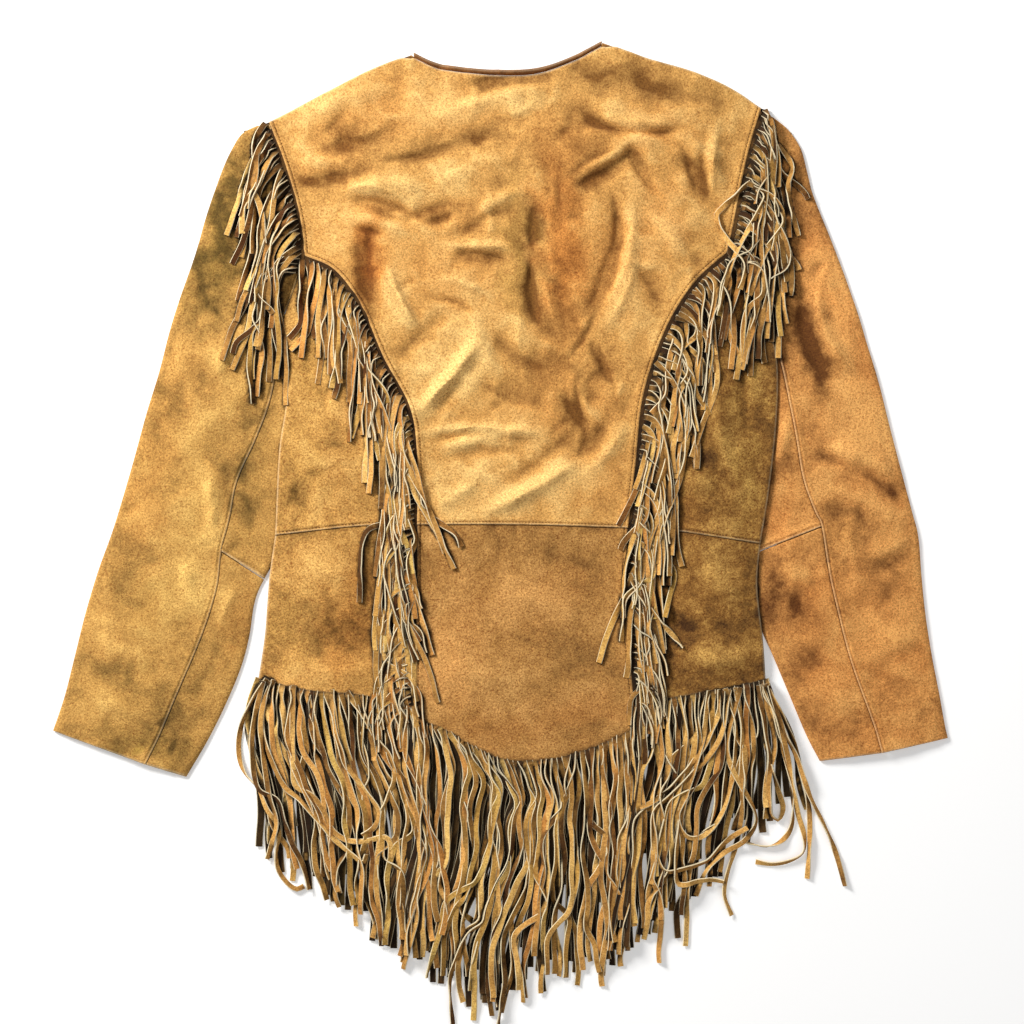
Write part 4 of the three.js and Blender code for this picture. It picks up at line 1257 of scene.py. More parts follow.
class StripBed:
    """Lays strips one on another and gathers their mesh."""

    CROWDED = 12.5
    RING = np.array([(-0.42, 0.5), (0, 0.5), (0.42, 0.5), (0.5, 0), (0.42, -0.5), (0, -0.5), (-0.42, -0.5), (-0.5, 0)])
    CUT = np.array([0, 0, 1, 1, 0, 0, 1, 1]) * 0.85
    CAP = ((0, 1, 6, 7), (1, 2, 5, 6), (2, 3, 4, 5))

    def __init__(self, ground: HeightMap) -> None:
        """Starts with no strips."""
        self.ground = ground
        self.points: list[Array] = []
        self.faces: list[Array] = []
        self.cut: list[Array] = []
        self.tone: list[Array] = []
        self.warmth: list[Array] = []
        self.painted_shade: list[Array] = []
        self.count = 0

    def lay(self, strip: Strip, rng: np.random.Generator) -> None:
        """Lays a strip on what is there.

        Args:
            strip: The strip.
            rng: Gives its small curl.
        """
        steps = max(6, int(length_of(strip.path) / strip.step))
        both = resample(np.column_stack([strip.path, strip.roll]), steps)
        path, roll = both[:, :2], both[:, 2]
        side = normals_of(path)
        run = np.concatenate([[0], np.cumsum(np.linalg.norm(np.diff(path, axis=0), axis=1))])
        half = strip.width / 2
        thick = STRIP_THICKNESS / 2
        plan = half * np.abs(np.cos(roll)) + thick * np.abs(np.sin(roll))
        tall = half * np.abs(np.sin(roll)) + thick * np.abs(np.cos(roll))
        over = np.array([-0.92, -0.46, 0, 0.46, 0.92])
        xs = path[:, 0, None] + side[:, 0, None] * plan[:, None] * over
        ys = path[:, 1, None] + side[:, 1, None] * plan[:, None] * over
        under = self.ground.at(xs, ys)
        rest = 0.6 * under.max(axis=1) + 0.4 * under.mean(axis=1) + tall
        rest = np.where(rest > self.CROWDED, self.CROWDED + 0.25 * (rest - self.CROWDED), rest)
        z = rest.copy()
        if strip.root_z is not None:
            z = np.maximum(z, strip.root_z * np.exp(-run / 14.0))
            z[0] = strip.root_z
        for _ in range(7):
            eased = z.copy()
            eased[1:-1] = 0.25 * z[:-2] + 0.5 * z[1:-1] + 0.25 * z[2:]
            z = np.maximum(eased, rest - 0.25)
            if strip.root_z is not None:
                z[0] = strip.root_z
        z = np.maximum(z, tall + 0.6)
        curl = 0.55 * np.sin(run / rng.uniform(16, 34) + rng.uniform(0, 6.28)) * rng.uniform(0.2, 1.0)
        c, s = np.cos(roll), np.sin(roll)
        a = self.RING[:, 0] * strip.width
        b = self.RING[:, 1] * STRIP_THICKNESS
        bow = np.where(self.RING[:, 0] == 0, 1.0, 0.0)
        lift = b[None, :] + curl[:, None] * bow[None, :]
        out = a[None, :] * c[:, None] - lift * s[:, None]
        up = a[None, :] * s[:, None] + lift * c[:, None]
        ring = np.stack([
            path[:, 0, None] + side[:, 0, None] * out,
            path[:, 1, None] + side[:, 1, None] * out,
            z[:, None] + up,
        ], axis=-1)
        along = strip.shade + 0.45 * np.sin(run / rng.uniform(14, 40) + rng.uniform(0, 6.28))
        # Towards the root each strip is painted darker and takes painted shade, for the shaded gaps where strips stand
        # on edge.
        along = along - 0.3 * np.exp(-run / 9.0)
        self.take(ring, self.CUT, along, strip.warmth, strip.painted_shade + 0.6 * np.exp(-((run / 9.0) ** 2)))
        fine = max(8, int(run[-1] / 1.1))
        dense = resample(np.column_stack([path, z, plan, np.tan(np.clip(roll, -1.2, 1.2)), thick + 0 * z, side]), fine)
        cross = np.linspace(-1, 1, 7)[None, :]
        gx = dense[:, 0, None] + dense[:, 6, None] * dense[:, 3, None] * cross
        gy = dense[:, 1, None] + dense[:, 7, None] * dense[:, 3, None] * cross
        gz = dense[:, 2, None] + dense[:, 4, None] * dense[:, 3, None] * cross + dense[:, 5, None]
        self.ground.add(gx, gy, gz)

    def take(self, ring: Array, cut: Array, tone: Array, warmth: float, painted_shade: Array) -> None:
        """Adds a closed tube of rings, with a cap on each end.

        Args:
            ring: The rings' points, row by row.
            cut: How pale each side of a ring is.
            tone: Lightness of each ring.
            warmth: Warmth of the whole tube.
            painted_shade: How much painted shade each ring takes.
        """
        n, m, _ = ring.shape
        k = np.arange(n - 1)[:, None] * m + self.count
        j = np.arange(m)[None, :]
        quads = np.stack([k + j, k + (j + 1) % m, k + m + (j + 1) % m, k + m + j], axis=-1).reshape(-1, 4)
        first, last = np.array(self.CAP) + self.count, np.array(self.CAP) + self.count + (n - 1) * m
        self.faces.append(np.vstack([quads[:, ::-1], first, last[:, ::-1]]))
        self.points.append(ring.reshape(-1, 3))
        self.cut.append(np.concatenate([np.tile(cut, n - 1), np.ones(2 * len(self.CAP))]))
        self.tone.append(np.repeat(tone, m))
        self.warmth.append(np.full(n * m, warmth))
        self.painted_shade.append(np.repeat(painted_shade, m))
        self.count += n * m

    def band(self, path: Array, width: float, z: Array, thickness: float, shade: float) -> None:
        """An uncut band along a seam, at a height given along it."""
        side = normals_of(path)
        a, b = self.RING[:, 0] * width, self.RING[:, 1] * thickness
        ring = np.stack([
            path[:, 0, None] + side[:, 0, None] * a, path[:, 1, None] + side[:, 1, None] * a, z[:, None] + b[None, :],
        ], axis=-1)
        each = np.ones(len(path))
        # The band is painted darker and takes painted shade, as it lies in shade below the panel edge.
        self.take(ring, self.CUT * 0.3, shade * each, 0.3, 0.8 * each)

    def piece(self, name: str, node: str) -> bpy.types.Object:
        """The strips laid so far as one piece; the next strips start another."""
        made = array_piece(name, np.vstack(self.points), np.vstack(self.faces).tolist(), False)
        paint(made, "tone", np.concatenate(self.tone))
        paint(made, "warmth", np.concatenate(self.warmth))
        paint(made, "crease", np.zeros(self.count))
        paint(made, "painted_shade", np.clip(np.concatenate(self.painted_shade), 0, 1))
        paint(made, "cut", np.concatenate(self.cut), "FACE")
        made.data.materials.append(STRIP_HIDE.material())
        ride_as(made, "suede_fringe", node)
        deselect()
        bpy.context.view_layer.objects.active = made
        made.select_set(True)
        bpy.ops.object.shade_smooth_by_angle(angle=math.radians(32))
        self.points, self.faces, self.cut, self.tone, self.warmth, self.painted_shade, self.count = [], [], [], [], [], [], 0
        return made


@dataclass
class FringeCut:
    """A fringe cut into strips along a seam or hem.

    Attributes hold shares along the root against values: length, lean of the root, hanging direction and how
    slowly a strip turns from one to the other.
    """

    root: Array
    out: float
    pitch: float = 6.4
    start: float = 0.0
    lengths: Rows = ((0, 110), (1, 110))
    length_spread: float = 0.07
    leans: Rows = ((0, 0), (1, 0))
    hangs: Rows = ((0, -90), (1, -90))
    turns: Rows = ((0, 14), (1, 14))
    turn_spread: float = 0.5
    wander: float = 7.0
    kinks: float = 0.1
    edge_on: float = 0.5
    lean_spread: float = 7.0
    hang_spread: float = 4.0
    shade: float = 0.0
    seed: int = 1
    flips: float = 1.0
    bend: float = 1.5
    painted_shade: float = 0.0
    width: float = STRIP_WIDTH
    root_reach: tuple[float, float] = (9.0, 20.0)
    shuffle: float = 3.0
    sway: Rows = ((0, 0), (1, 0))
    sway_share: Rows = ((0, 1), (1, 1))
    straight_root: bool = False
    root_z: Array | None = None
    reverse: bool = False
    step: float = 3.6

    def strips(self) -> list[Strip]:
        """Every strip of the fringe, in order along the root."""
        rng = np.random.default_rng(SEED + self.seed)
        count = max(2, int(length_of(self.root) / self.pitch))
        roots = resample(self.root, count)
        side = normals_of(roots) * self.out
        made = []
        shared = rng.uniform(0, 6.28, 3)
        for k in range(count + 1):
            t = k / count
            pick = lambda rows: float(np.interp(t, [r[0] for r in rows], [r[1] for r in rows]))
            length = pick(self.lengths) * (1 + self.length_spread * rng.normal())
            outward = math.degrees(math.atan2(side[k, 1], side[k, 0]))
            first = outward + pick(self.leans) + self.lean_spread * rng.normal()
            last = pick(self.hangs) + self.hang_spread * rng.normal()
            if self.straight_root:
                first = -90.0 + pick(self.leans) + self.lean_spread * rng.normal()
            swing = (first - last + 180) % 360 - 180
            turn = pick(self.turns) * (1 + self.turn_spread * rng.uniform(-1, 1))
            n = max(8, int(length / 2.0))
            s = np.linspace(0, length, n)
            clump = 6.28 * np.sin(t * 9.0 + shared[0]) + 3.0 * np.sin(t * 23.0 + shared[1])
            heading = last + swing * np.exp(-((s / turn) ** self.bend))
            swayed = np.interp(s + 5.0 * rng.normal(), [r[0] for r in self.sway], [r[1] for r in self.sway])
            heading = heading + swayed * pick(self.sway_share) * (1 + 0.3 * rng.normal())
            grow = 1 - np.exp(-s / 18.0)
            heading += grow * self.wander * (
                0.5 * np.sin(s / 19.0 + clump) + 0.8 * np.sin(s / rng.uniform(9, 16) + rng.uniform(0, 6.28))
                + 0.3 * np.sin(s / rng.uniform(4, 6) + rng.uniform(0, 6.28))
            )
            tilt = math.radians(rng.uniform(2, 32)) * rng.choice([-1, 1], p=[0.35, 0.65])
            roll = np.full(n, min(1.0, self.flips) * tilt)
            if rng.random() < self.kinks:
                at, size = rng.uniform(0.15, 0.8) * length, rng.uniform(14, 38)
                bend = rng.choice([-1, 1]) * rng.uniform(22, 55)
                gate = 1 / (1 + np.exp(-(s - at) / 2.2)) - 1 / (1 + np.exp(-(s - at - size) / 3.0))
                heading += bend * gate
                roll += np.radians(rng.uniform(20, 60)) * np.exp(-(((s - at) / 8.0) ** 2)) * rng.choice([-1, 1])
            if rng.random() < self.edge_on:
                peak = np.radians(rng.uniform(45, 84)) * rng.choice([-1, 1], p=[0.3, 0.7])
                reach = rng.uniform(*self.root_reach)
                roll += peak * np.exp(-(((s - reach) / (0.75 * reach)) ** 2)) * smooth(0, 5, s)
            for _ in range(int(self.flips * rng.integers(0, 5))):
                at, size = rng.uniform(0.25, 1.0) * length, rng.uniform(7, 22)
                roll += np.radians(rng.uniform(15, 70)) * rng.choice([-1, 1]) * np.exp(-(((s - at) / size) ** 2))
            roll += min(1.0, self.flips) * np.radians(9) * np.sin(s / rng.uniform(9, 22) + rng.uniform(0, 6.28))
            angle = np.radians(heading)
            step = length / (n - 1)
            x = roots[k, 0] + np.concatenate([[0], np.cumsum(np.cos(angle[:-1]) * step)])
            y = roots[k, 1] + np.concatenate([[0], np.cumsum(np.sin(angle[:-1]) * step)])
            root_z = None
            if self.root_z is not None:
                root_z = float(np.interp(t, np.linspace(0, 1, len(self.root_z)), self.root_z))
            tone = self.shade + 0.05 + 0.45 * rng.normal()
            width = self.width * rng.uniform(0.88, 1.06)
            warmth = float(np.clip(0.4 * rng.normal(), -0.7, 0.6))
            made.append(Strip(np.stack([x, y], axis=1), roll, width, tone, warmth, root_z, self.painted_shade, self.step))
        order = np.argsort(np.arange(len(made)) + self.shuffle * rng.normal(size=len(made)))
        return [made[k] for k in (order[::-1] if self.reverse else order)]


# ---------------------------------------------------------------- stitching


@dataclass
class StitchRun:
    """A row of stitches along a line on the cloth."""

    path: Array
    pitch: float = 3.1
    length: float = 2.2
    thickness: float = 0.62

    def places(self) -> Array:
        """Middle and direction of each stitch."""
        count = max(2, int(length_of(self.path) / self.pitch))
        points = resample(self.path, count)
        return np.hstack([(points[1:] + points[:-1]) / 2, points[1:] - points[:-1]])


def inset_line(path: Array, amount: float) -> Array:
    """A polyline moved to its left by an amount."""
    return path + normals_of(path) * amount


def stitch_piece(name: str, runs: list[StitchRun], ground: HeightMap) -> bpy.types.Object:
    """All the stitches as one piece, each a small rounded thread lying on the cloth."""
    deselect()
    bpy.ops.mesh.primitive_uv_sphere_add(segments=6, ring_count=4, radius=1.0)
    seed = bpy.context.object
    shape = np.array([v.co[:] for v in seed.data.vertices])
    corners = [list(p.vertices) for p in seed.data.polygons]
    bpy.data.objects.remove(seed, do_unlink=True)
    points, faces = [], []
    for run in runs:
        for x, y, dx, dy in run.places():
            size = math.hypot(dx, dy)
            along, side = np.array([dx, dy]) / size, np.array([-dy, dx]) / size
            ends = [float(ground.at(np.array([x + along[0] * e]), np.array([y + along[1] * e]))[0]) for e in (-1, 0, 1)]
            z = sum(ends) / 3 + 0.02
            local = np.stack([
                x + shape[:, 0] * along[0] * run.length / 2 + shape[:, 1] * side[0] * run.thickness / 2,
                y + shape[:, 0] * along[1] * run.length / 2 + shape[:, 1] * side[1] * run.thickness / 2,
                z + shape[:, 2] * run.thickness / 2,
            ], axis=1)
            base = len(points) * len(shape)
            points.append(local)
            faces.extend([[base + c for c in corner] for corner in corners])
    piece = array_piece(name, np.vstack(points), faces)
    for key in ("tone", "warmth", "crease", "cut", "painted_shade"):
        paint(piece, key, np.zeros(len(piece.data.vertices)))
    piece.data.materials.append(THREAD.material())
    ride_as(piece, "suede_binding")
    return piece


# ---------------------------------------------------------------- the jacket


@dataclass
class Jacket:
    """The whole jacket, built from the ground up."""

    ground: HeightMap = field(default_factory=HeightMap)
    shown: dict[str, bpy.types.Object] = field(default_factory=dict)

    def keep(self, piece: bpy.types.Object) -> bpy.types.Object:
        """Remembers a piece by its name."""
        self.shown[piece.name] = piece
        LOG.info("%s: %d faces", piece.name, len(piece.data.polygons))
        return piece

    def panels(self) -> list[PanelCut]:
        """The back's and front's panels."""
        left, right = LEFT_CUT, RIGHT_CUT
        neck = line(NECK, 60) - np.array([0, BINDING_WIDTH])
        shoulder_l, shoulder_r = line(left.shoulder, 50), line(right.shoulder, 50)[::-1]
        shoulder_l[:, 1] -= BINDING_WIDTH * smooth(0.9, 1.0, np.linspace(0, 1, 51))
        shoulder_r[:, 1] -= BINDING_WIDTH * smooth(0.9, 1.0, np.linspace(1, 0, 51))
        made = [
            PanelCut(
                "back_center_panel", "back_center_upper", "suede_back", BACK_HIDE, BACK_TINT,
                joined(shoulder_l, neck, shoulder_r), line(CENTER_WAIST, 150),
                joined(line(left.armhole, 60), line(left.princess, 90)),
                joined(line(right.armhole, 60), line(right.princess, 90)),
                (SIDE_FOLD, TURNED, LAPPED, TURNED), 2.75, raise_all=0.5,
            ),
            PanelCut(
                "tail_panel", "back_tail", "suede_tail", TAIL_HIDE, BACK_TINT,
                line(CENTER_WAIST, 150), line(TAIL_HEM, 150),
                joined(line(left.lower_princess, 60), np.array([left.lower_princess[-1], left.tail_corner], float)),
                joined(line(right.lower_princess, 60), np.array([right.lower_princess[-1], right.tail_corner], float)),
                (UNDER, TURNED, HEMMED, TURNED), 2.6, raise_all=0.2,
            ),
        ]
        for side, cut in CUTS.items():
            n = side.value
            side_hide = LEFT_SIDE_HIDE if side is Side.LEFT else RIGHT_SIDE_HIDE
            upper = dict(
                left=line(cut.side, 90), right=line(cut.princess, 90),
                top=line(cut.underarm, 40)[::-1], bottom=line(cut.waist, 40),
            )
            lower = dict(
                left=line(cut.skirt, 60), right=line(cut.lower_princess, 60),
                top=line(cut.waist, 40), bottom=line(cut.hem, 40),
            )
            made.append(PanelCut(
                f"side_upper_panel_{n}", f"side_back_upper_{n}", "suede_side", side_hide, SIDE_TINT,
                finishes=(UNDER, UNDER, LAPPED, SIDE_FOLD), **upper,
            ))
            made.append(PanelCut(
                f"side_lower_panel_{n}", f"side_back_lower_{n}", "suede_side", side_hide, SIDE_TINT,
                finishes=(UNDER, UNDER, HEMMED, SIDE_FOLD), **lower,
            ))
            rail = BODY_RAILS[side]
            keep = rail[rail[:, 1] > FRONT_HEM_Y + 4]
            corner = np.array([[keep[-1, 0], FRONT_HEM_Y]])
            neck_line = line(cut.front_neck, 40)
            center_gap = 0.4 * side.out
            center = (CENTER_FRONT_X + center_gap, FRONT_HEM_Y)
            made.append(PanelCut(
                f"front_panel_{n}", f"front_{n}", "suede_front", FRONT_HIDE, SIDE_TINT,
                joined(line(cut.shoulder, 50), neck_line),
                line((tuple(corner[0]), center), 90),
                np.vstack([keep, corner]),
                line((tuple(neck_line[-1] + np.array([center_gap, 0])), center), 90),
                (PLAIN, PLAIN, PLAIN, PLAIN), 6.5, is_front=True,
            ))
        return made

    def build_cloth(self) -> None:
        """Makes the panels and sleeves."""
        for cut in self.panels():
            self.keep(cut.build())
        self.keep(self.binding())
        for side in Side:
            tube = SleeveTube(side)
            hide = LEFT_HIDE if side is Side.LEFT else RIGHT_HIDE
            n = side.value
            last = float(tube.HEAD + 12)
            elbow = float(tube.HEAD + 6)
            for part, node, upper, first, stop in (
                ("upper", "sleeve_upper", True, 0.12, last),
                ("under_upper", "sleeve_under_upper", False, float(tube.HEAD), elbow - 0.012),
                ("under_lower", "sleeve_under_lower", False, elbow + 0.012, last),
            ):
                piece = SleevePanel(
                    f"sleeve_{part}_panel_{n}", f"{node}_{n}", f"suede_sleeve_{n}", hide, tube, upper, first, stop,
                ).build()
                self.keep(piece)

    def binding(self) -> bpy.types.Object:
        """The strip that binds the neck."""
        top = line(NECK, 90)
        v = spaced(BINDING_WIDTH, 0.8, False)[:, None]
        across = np.linspace(0, 1, 9)[:, None]
        x = top[None, :, 0] + 0 * across
        y = top[None, :, 1] - BINDING_WIDTH * across
        z = back_top(x, y) + 1.2 - 1.6 * (2 * np.abs(across - 0.5)) ** 3
        piece = grid_piece("neck_binding_strip", np.stack([x, y, z], axis=-1))
        channels = {
            "tone": -0.15 + 0.3 * ripple(x, y, 30, 51), "warmth": 0.2 + 0 * x, "crease": 0 * x,
            # A painted highlight along the binding's crown.
            "cut": 0.16 * np.exp(-((across - 0.3) / 0.16) ** 2) + 0 * x,
        }
        return finish_sheet(piece, channels, -1.0, BINDING_HIDE, "suede_binding", "neck_binding")

    def build_fringe(self) -> None:
        """Lays every fringe on the cloth."""
        bare = HeightMap()
        rng = np.random.default_rng(SEED)
        for side in Side:
            self.front_fringes(StripBed(bare), side, rng)
        self.ground.z = bare.z.copy()
        self.ground.cast([p for n, p in self.shown.items() if "panel" in n])
        LOG.info("ground cast")
        bed = StripBed(self.ground)
        self.lay_all(bed, self.under_layer(self.tail_cut()), rng)
        self.lay_all(bed, self.tail_cut(), rng)
        self.keep(bed.piece("tail_fringe", "fringe_hem_center"))
        for side in Side:
            self.lay_all(bed, self.under_layer(self.hem_cut(side)), rng)
            self.lay_all(bed, self.hem_cut(side), rng)
            for strip in hero_strips(HEM_HEROES[side]):
                bed.lay(strip, rng)
            self.keep(bed.piece(f"side_hem_fringe_{side.value}", f"fringe_hem_side_{side.value}"))
        for side in Side:
            self.seam_fringe(bed, side, rng)
            self.armhole_fringe(bed, side, rng)

    @staticmethod
    def under_layer(cut: FringeCut) -> FringeCut:
        """The strips of a hem that lie below the others, flatter and in their shade."""
        # The lower strips are painted darker and take painted shade.
        return replace(
            cut, seed=cut.seed + 40, step=6.0, pitch=4.5, wander=0.25 * cut.wander, kinks=0.03, edge_on=0.25,
            flips=0.3, painted_shade=0.86, shade=-0.5, width=6.8, root_z=cut.root_z - 0.8,
            lengths=tuple((t, 0.95 * length) for t, length in cut.lengths),
        )

    @staticmethod
    def lay_all(bed: StripBed, cut: FringeCut, rng: np.random.Generator) -> None:
        """Lays every strip of one fringe."""
        for strip in cut.strips():
            bed.lay(strip, rng)

    def front_fringes(self, bed: StripBed, side: Side, rng: np.random.Generator) -> None:
        """The fringes of the fronts, mostly hidden: along the hem and at the sleeve head."""
        cut = CUTS[side]
        edge = BODY_RAILS[side]
        low = edge[-1, 0]
        root = np.array([(low, -148.8), (CENTER_FRONT_X + 2.5 * side.out, -148.8)], float)
        reach = ((0, 128), (0.12, 160), (0.3, 196), (1, 205))
        if side is Side.RIGHT:
            reach = ((0, 100), (0.12, 122), (0.3, 176), (1, 205))
        # The front's hem strips are painted dark with painted shade, for the deep shade behind the tail's strips.
        self.lay_all(bed, FringeCut(
            root, 1.0, 4.6, lengths=reach, length_spread=0.09, straight_root=True, painted_shade=0.62, width=6.8,
            leans=((0, -4 * side.out), (0.3, -4 * side.out), (1, 0)), hangs=((0, -90 - 8 * side.out), (1, -90)),
            turns=((0, 60), (1, 60)), edge_on=0.0, shade=-0.4, seed=10 + (side is Side.RIGHT),
            root_z=np.array([1.3, 1.3]), kinks=0.0, wander=7.0, flips=0.0, step=6.0,
        ), rng)
        n = side.value
        self.keep(bed.piece(f"front_hem_fringe_{n}", f"fringe_hem_front_{n}"))
        head = line(cut.head, 40)[4:18]
        shift = np.array([-2.0 * side.out, 0])
        # The sleeve-head strips are painted dark with painted shade.
        self.lay_all(bed, FringeCut(
            head + shift, -side.out, 6.6, painted_shade=0.5, lengths=((0, 12), (0.5, 18), (1, 12)),
            leans=((0, -45 * side.out), (1, -40 * side.out)),
            hangs=((0, -90 + 16 * side.out), (1, -90 + 12 * side.out)), turns=((0, 9), (1, 9)), edge_on=0.0,
            shade=-0.5, seed=20 + (side is Side.RIGHT), root_z=np.array([0.9, 0.9]), kinks=0.0, wander=2.0, flips=0.0,
        ), rng)
        self.keep(bed.piece(f"front_armhole_fringe_{n}", f"fringe_front_armhole_{n}"))

    def tail_cut(self) -> FringeCut:
        """The fringe of the tail's hem."""
        root = line(TAIL_HEM, 120) + np.array([0, 1.5])
        z = back_top(root[:, 0], root[:, 1]) - 2.0
        return FringeCut(
            root, -1.0, 4.6, straight_root=True, seed=1, root_z=z, root_reach=(10.0, 24.0), shuffle=7.0,
            sway_share=((0, 0.35), (0.2, 0.7), (0.3, 1.1), (0.55, 1), (0.65, 0.3), (1, 0.2)),
            lengths=(
                (0, 222), (0.15, 236), (0.3, 246), (0.42, 252), (0.5, 240), (0.62, 214), (0.75, 214), (0.9, 226),
                (1, 212),
            ),
            leans=((0, 12), (0.2, 22), (0.45, 20), (0.6, 8), (1, 0)), hangs=((0, -92), (0.5, -91), (1, -90)),
            sway=(
                (0, 0), (12, 4), (30, 18), (48, -26), (62, -10), (80, 4), (110, -12), (150, -15), (200, -2), (250, 2),
            ),
            turns=((0, 40), (0.5, 44), (1, 34)), turn_spread=0.3, edge_on=0.92, kinks=0.5, wander=9.5,
            length_spread=0.05, hang_spread=3.4, lean_spread=8.0,
        )

    def hem_cut(self, side: Side) -> FringeCut:
        """The fringe of one side panel's hem."""
        cut = CUTS[side]
        root = line(cut.hem, 80) + np.array([0, 1.5])
        z = back_top(root[:, 0], root[:, 1]) - 2.0
        if side is Side.LEFT:
            return FringeCut(
                root, -1.0, 4.6, straight_root=True, seed=2, root_z=z, root_reach=(10.0, 24.0), shuffle=7.0,
                lengths=((0, 170), (0.25, 200), (0.5, 218), (0.75, 244), (1, 246)),
                leans=((0, -14), (0.2, 0), (0.6, 16), (1, 10)), hangs=((0, -82), (0.3, -78), (0.7, -86), (1, -92)),
                sway=((0, 0), (30, -6), (70, 14), (110, 8), (150, -8), (220, -4)),
                turns=((0, 60), (1, 46)), turn_spread=0.4, edge_on=0.88, kinks=0.5, wander=11.0, length_spread=0.06,
            )
        return FringeCut(
            root[::-1], 1.0, 4.6, straight_root=True, seed=3, root_z=z[::-1], root_reach=(10.0, 24.0), shuffle=7.0,
            lengths=((0, 240), (0.3, 226), (0.55, 204), (0.8, 150), (1, 128)),
            leans=((0, 4), (0.5, 2), (1, 10)), hangs=((0, -90), (0.5, -98), (0.75, -96), (1, -80)),
            sway=((0, 0), (40, 4), (90, -8), (140, 2), (220, 0)),
            turns=((0, 50), (1, 50)), turn_spread=0.4, edge_on=0.88, kinks=0.45, wander=10.0, length_spread=0.07,
        )

    def seam_fringe(self, bed: StripBed, side: Side, rng: np.random.Generator) -> None:
        """The fringe of one princess seam."""
        cut = CUTS[side]
        seam = joined(line(cut.princess, 60), line(cut.lower_princess, 30))
        band = inset_line(seam, 1.6 * side.out)
        band_z = back_top(band[:, 0], band[:, 1]) + 0.75
        bed.band(band, 6.0, band_z, 1.2, -0.75)
        n = side.value
        root = inset_line(seam, 3.4 * side.out)
        z = back_top(root[:, 0], root[:, 1]) + 0.9
        if side is Side.LEFT:
            cut_strips = FringeCut(
                root, side.out, 4.7, seed=4, root_z=z, reverse=True, shuffle=5.0,
                lengths=((0, 80), (0.15, 106), (0.4, 122), (0.6, 122), (0.8, 106), (1, 60)), length_spread=0.12,
                leans=((0, 30), (0.4, 26), (0.6, 16), (1, 16)), shade=-0.1,
                hangs=((0, -91), (0.25, -90), (0.45, -83), (0.7, -81), (0.85, -86), (1, -88)), hang_spread=9.0,
                turns=((0, 10), (0.25, 12), (0.5, 20), (1, 22)), turn_spread=0.85, edge_on=0.35,
                root_reach=(4.0, 11.0), kinks=0.2, wander=6.5,
            )
        else:
            cut_strips = FringeCut(
                root, side.out, 4.7, shade=-0.1, seed=5, root_z=z, reverse=True, shuffle=5.0,
                lengths=((0, 84), (0.2, 104), (0.4, 108), (0.6, 110), (0.8, 98), (1, 48)), length_spread=0.12,
                leans=((0, 0), (0.35, 0), (0.55, -20), (1, -20)),
                hangs=((0, -92), (0.2, -98), (0.4, -98), (0.55, -90), (0.8, -86), (1, -88)), hang_spread=7.0,
                turns=((0, 20), (0.2, 26), (0.4, 24), (0.55, 16), (1, 17)), turn_spread=0.85, edge_on=0.5,
                root_reach=(4.0, 12.0), kinks=0.22, wander=6.0,
            )
        self.lay_all(bed, cut_strips, rng)
        for strip in hero_strips(SEAM_HEROES[side]):
            bed.lay(strip, rng)
        self.keep(bed.piece(f"princess_fringe_{n}", f"fringe_princess_{n}"))

    def armhole_fringe(self, bed: StripBed, side: Side, rng: np.random.Generator) -> None:
        """The fringe of one armhole, over the sleeve head."""
        cut = CUTS[side]
        seam = joined(line(cut.armhole, 60), line(cut.underarm, 20)[:6])
        band = inset_line(seam, 1.8 * side.out)
        band_z = self.ground.at(band[:, 0], band[:, 1])
        band_z = np.convolve(np.pad(band_z, 4, mode="edge"), np.ones(9) / 9, "valid") + 0.3
        bed.band(band, 6.0, band_z, 1.2, -0.5)
        n = side.value
        root = inset_line(seam, 3.6 * side.out)
        z = self.ground.at(root[:, 0], root[:, 1]) + 0.7
        z = np.convolve(np.pad(z, 4, mode="edge"), np.ones(9) / 9, "valid")
        if side is Side.LEFT:
            cut_strips = FringeCut(
                root, side.out, 4.6, bend=3.0, seed=6, root_z=z, reverse=True,
                lengths=((0, 78), (0.25, 108), (0.6, 120), (0.85, 138), (1, 120)), length_spread=0.1, shuffle=5.0,
                leans=((0, 30), (0.3, 40), (0.7, 42), (1, 36)), hangs=((0, -98), (0.3, -97), (1, -93)), hang_spread=9.0,
                turns=((0, 20), (0.3, 44), (0.7, 46), (1, 34)), turn_spread=0.45, shade=-0.25, painted_shade=0.08, edge_on=0.7,
                root_reach=(5.0, 14.0), kinks=0.2, wander=7.0,
            )
        else:
            cut_strips = FringeCut(
                root, side.out, 4.6, seed=7, root_z=z, reverse=True,
                lengths=((0, 54), (0.12, 84), (0.3, 104), (0.6, 112), (0.85, 126), (1, 112)), length_spread=0.1,
                shuffle=5.0, leans=((0, -48), (0.3, -24), (0.6, -14), (1, -20)), lean_spread=5.0,
                hangs=((0, -90), (0.5, -92), (1, -99)), hang_spread=7.0,
                turns=((0, 26), (0.5, 30), (1, 26)), turn_spread=0.5, shade=-0.3, painted_shade=0.12, edge_on=0.9,
                root_reach=(5.0, 14.0), kinks=0.25, wander=7.0,
            )
        self.lay_all(bed, cut_strips, rng)
        for strip in hero_strips(ARMHOLE_HEROES[side]):
            bed.lay(strip, rng)
        self.keep(bed.piece(f"armhole_fringe_{n}", f"fringe_armhole_{n}"))

    def settle_painted_shade(self) -> None:
        """Paints shade, as darker colour, on what lies deep between and under the strips."""
        top = self.ground.softened()
        for name, piece in self.shown.items():
            co = np.zeros(len(piece.data.vertices) * 3)
            piece.data.vertices.foreach_get("co", co)
            co = co.reshape(-1, 3) / MM
            i, j = self.ground.cells(co[:, 0], co[:, 1])
            buried = top[i, j] - co[:, 2]
            if name == "back_center_panel":
                continue
            low, high = (0.1, 2.1) if "fringe" in name else (0.6, 2.6)
            layer = piece.data.attributes.get("painted_shade") or piece.data.attributes.new("painted_shade", "FLOAT", "POINT")
            own = np.zeros(len(co))
            layer.data.foreach_get("value", own)
            own = np.clip(own + smooth(low, high, buried), 0, 1)
            layer.data.foreach_set("value", own.astype(np.float32))

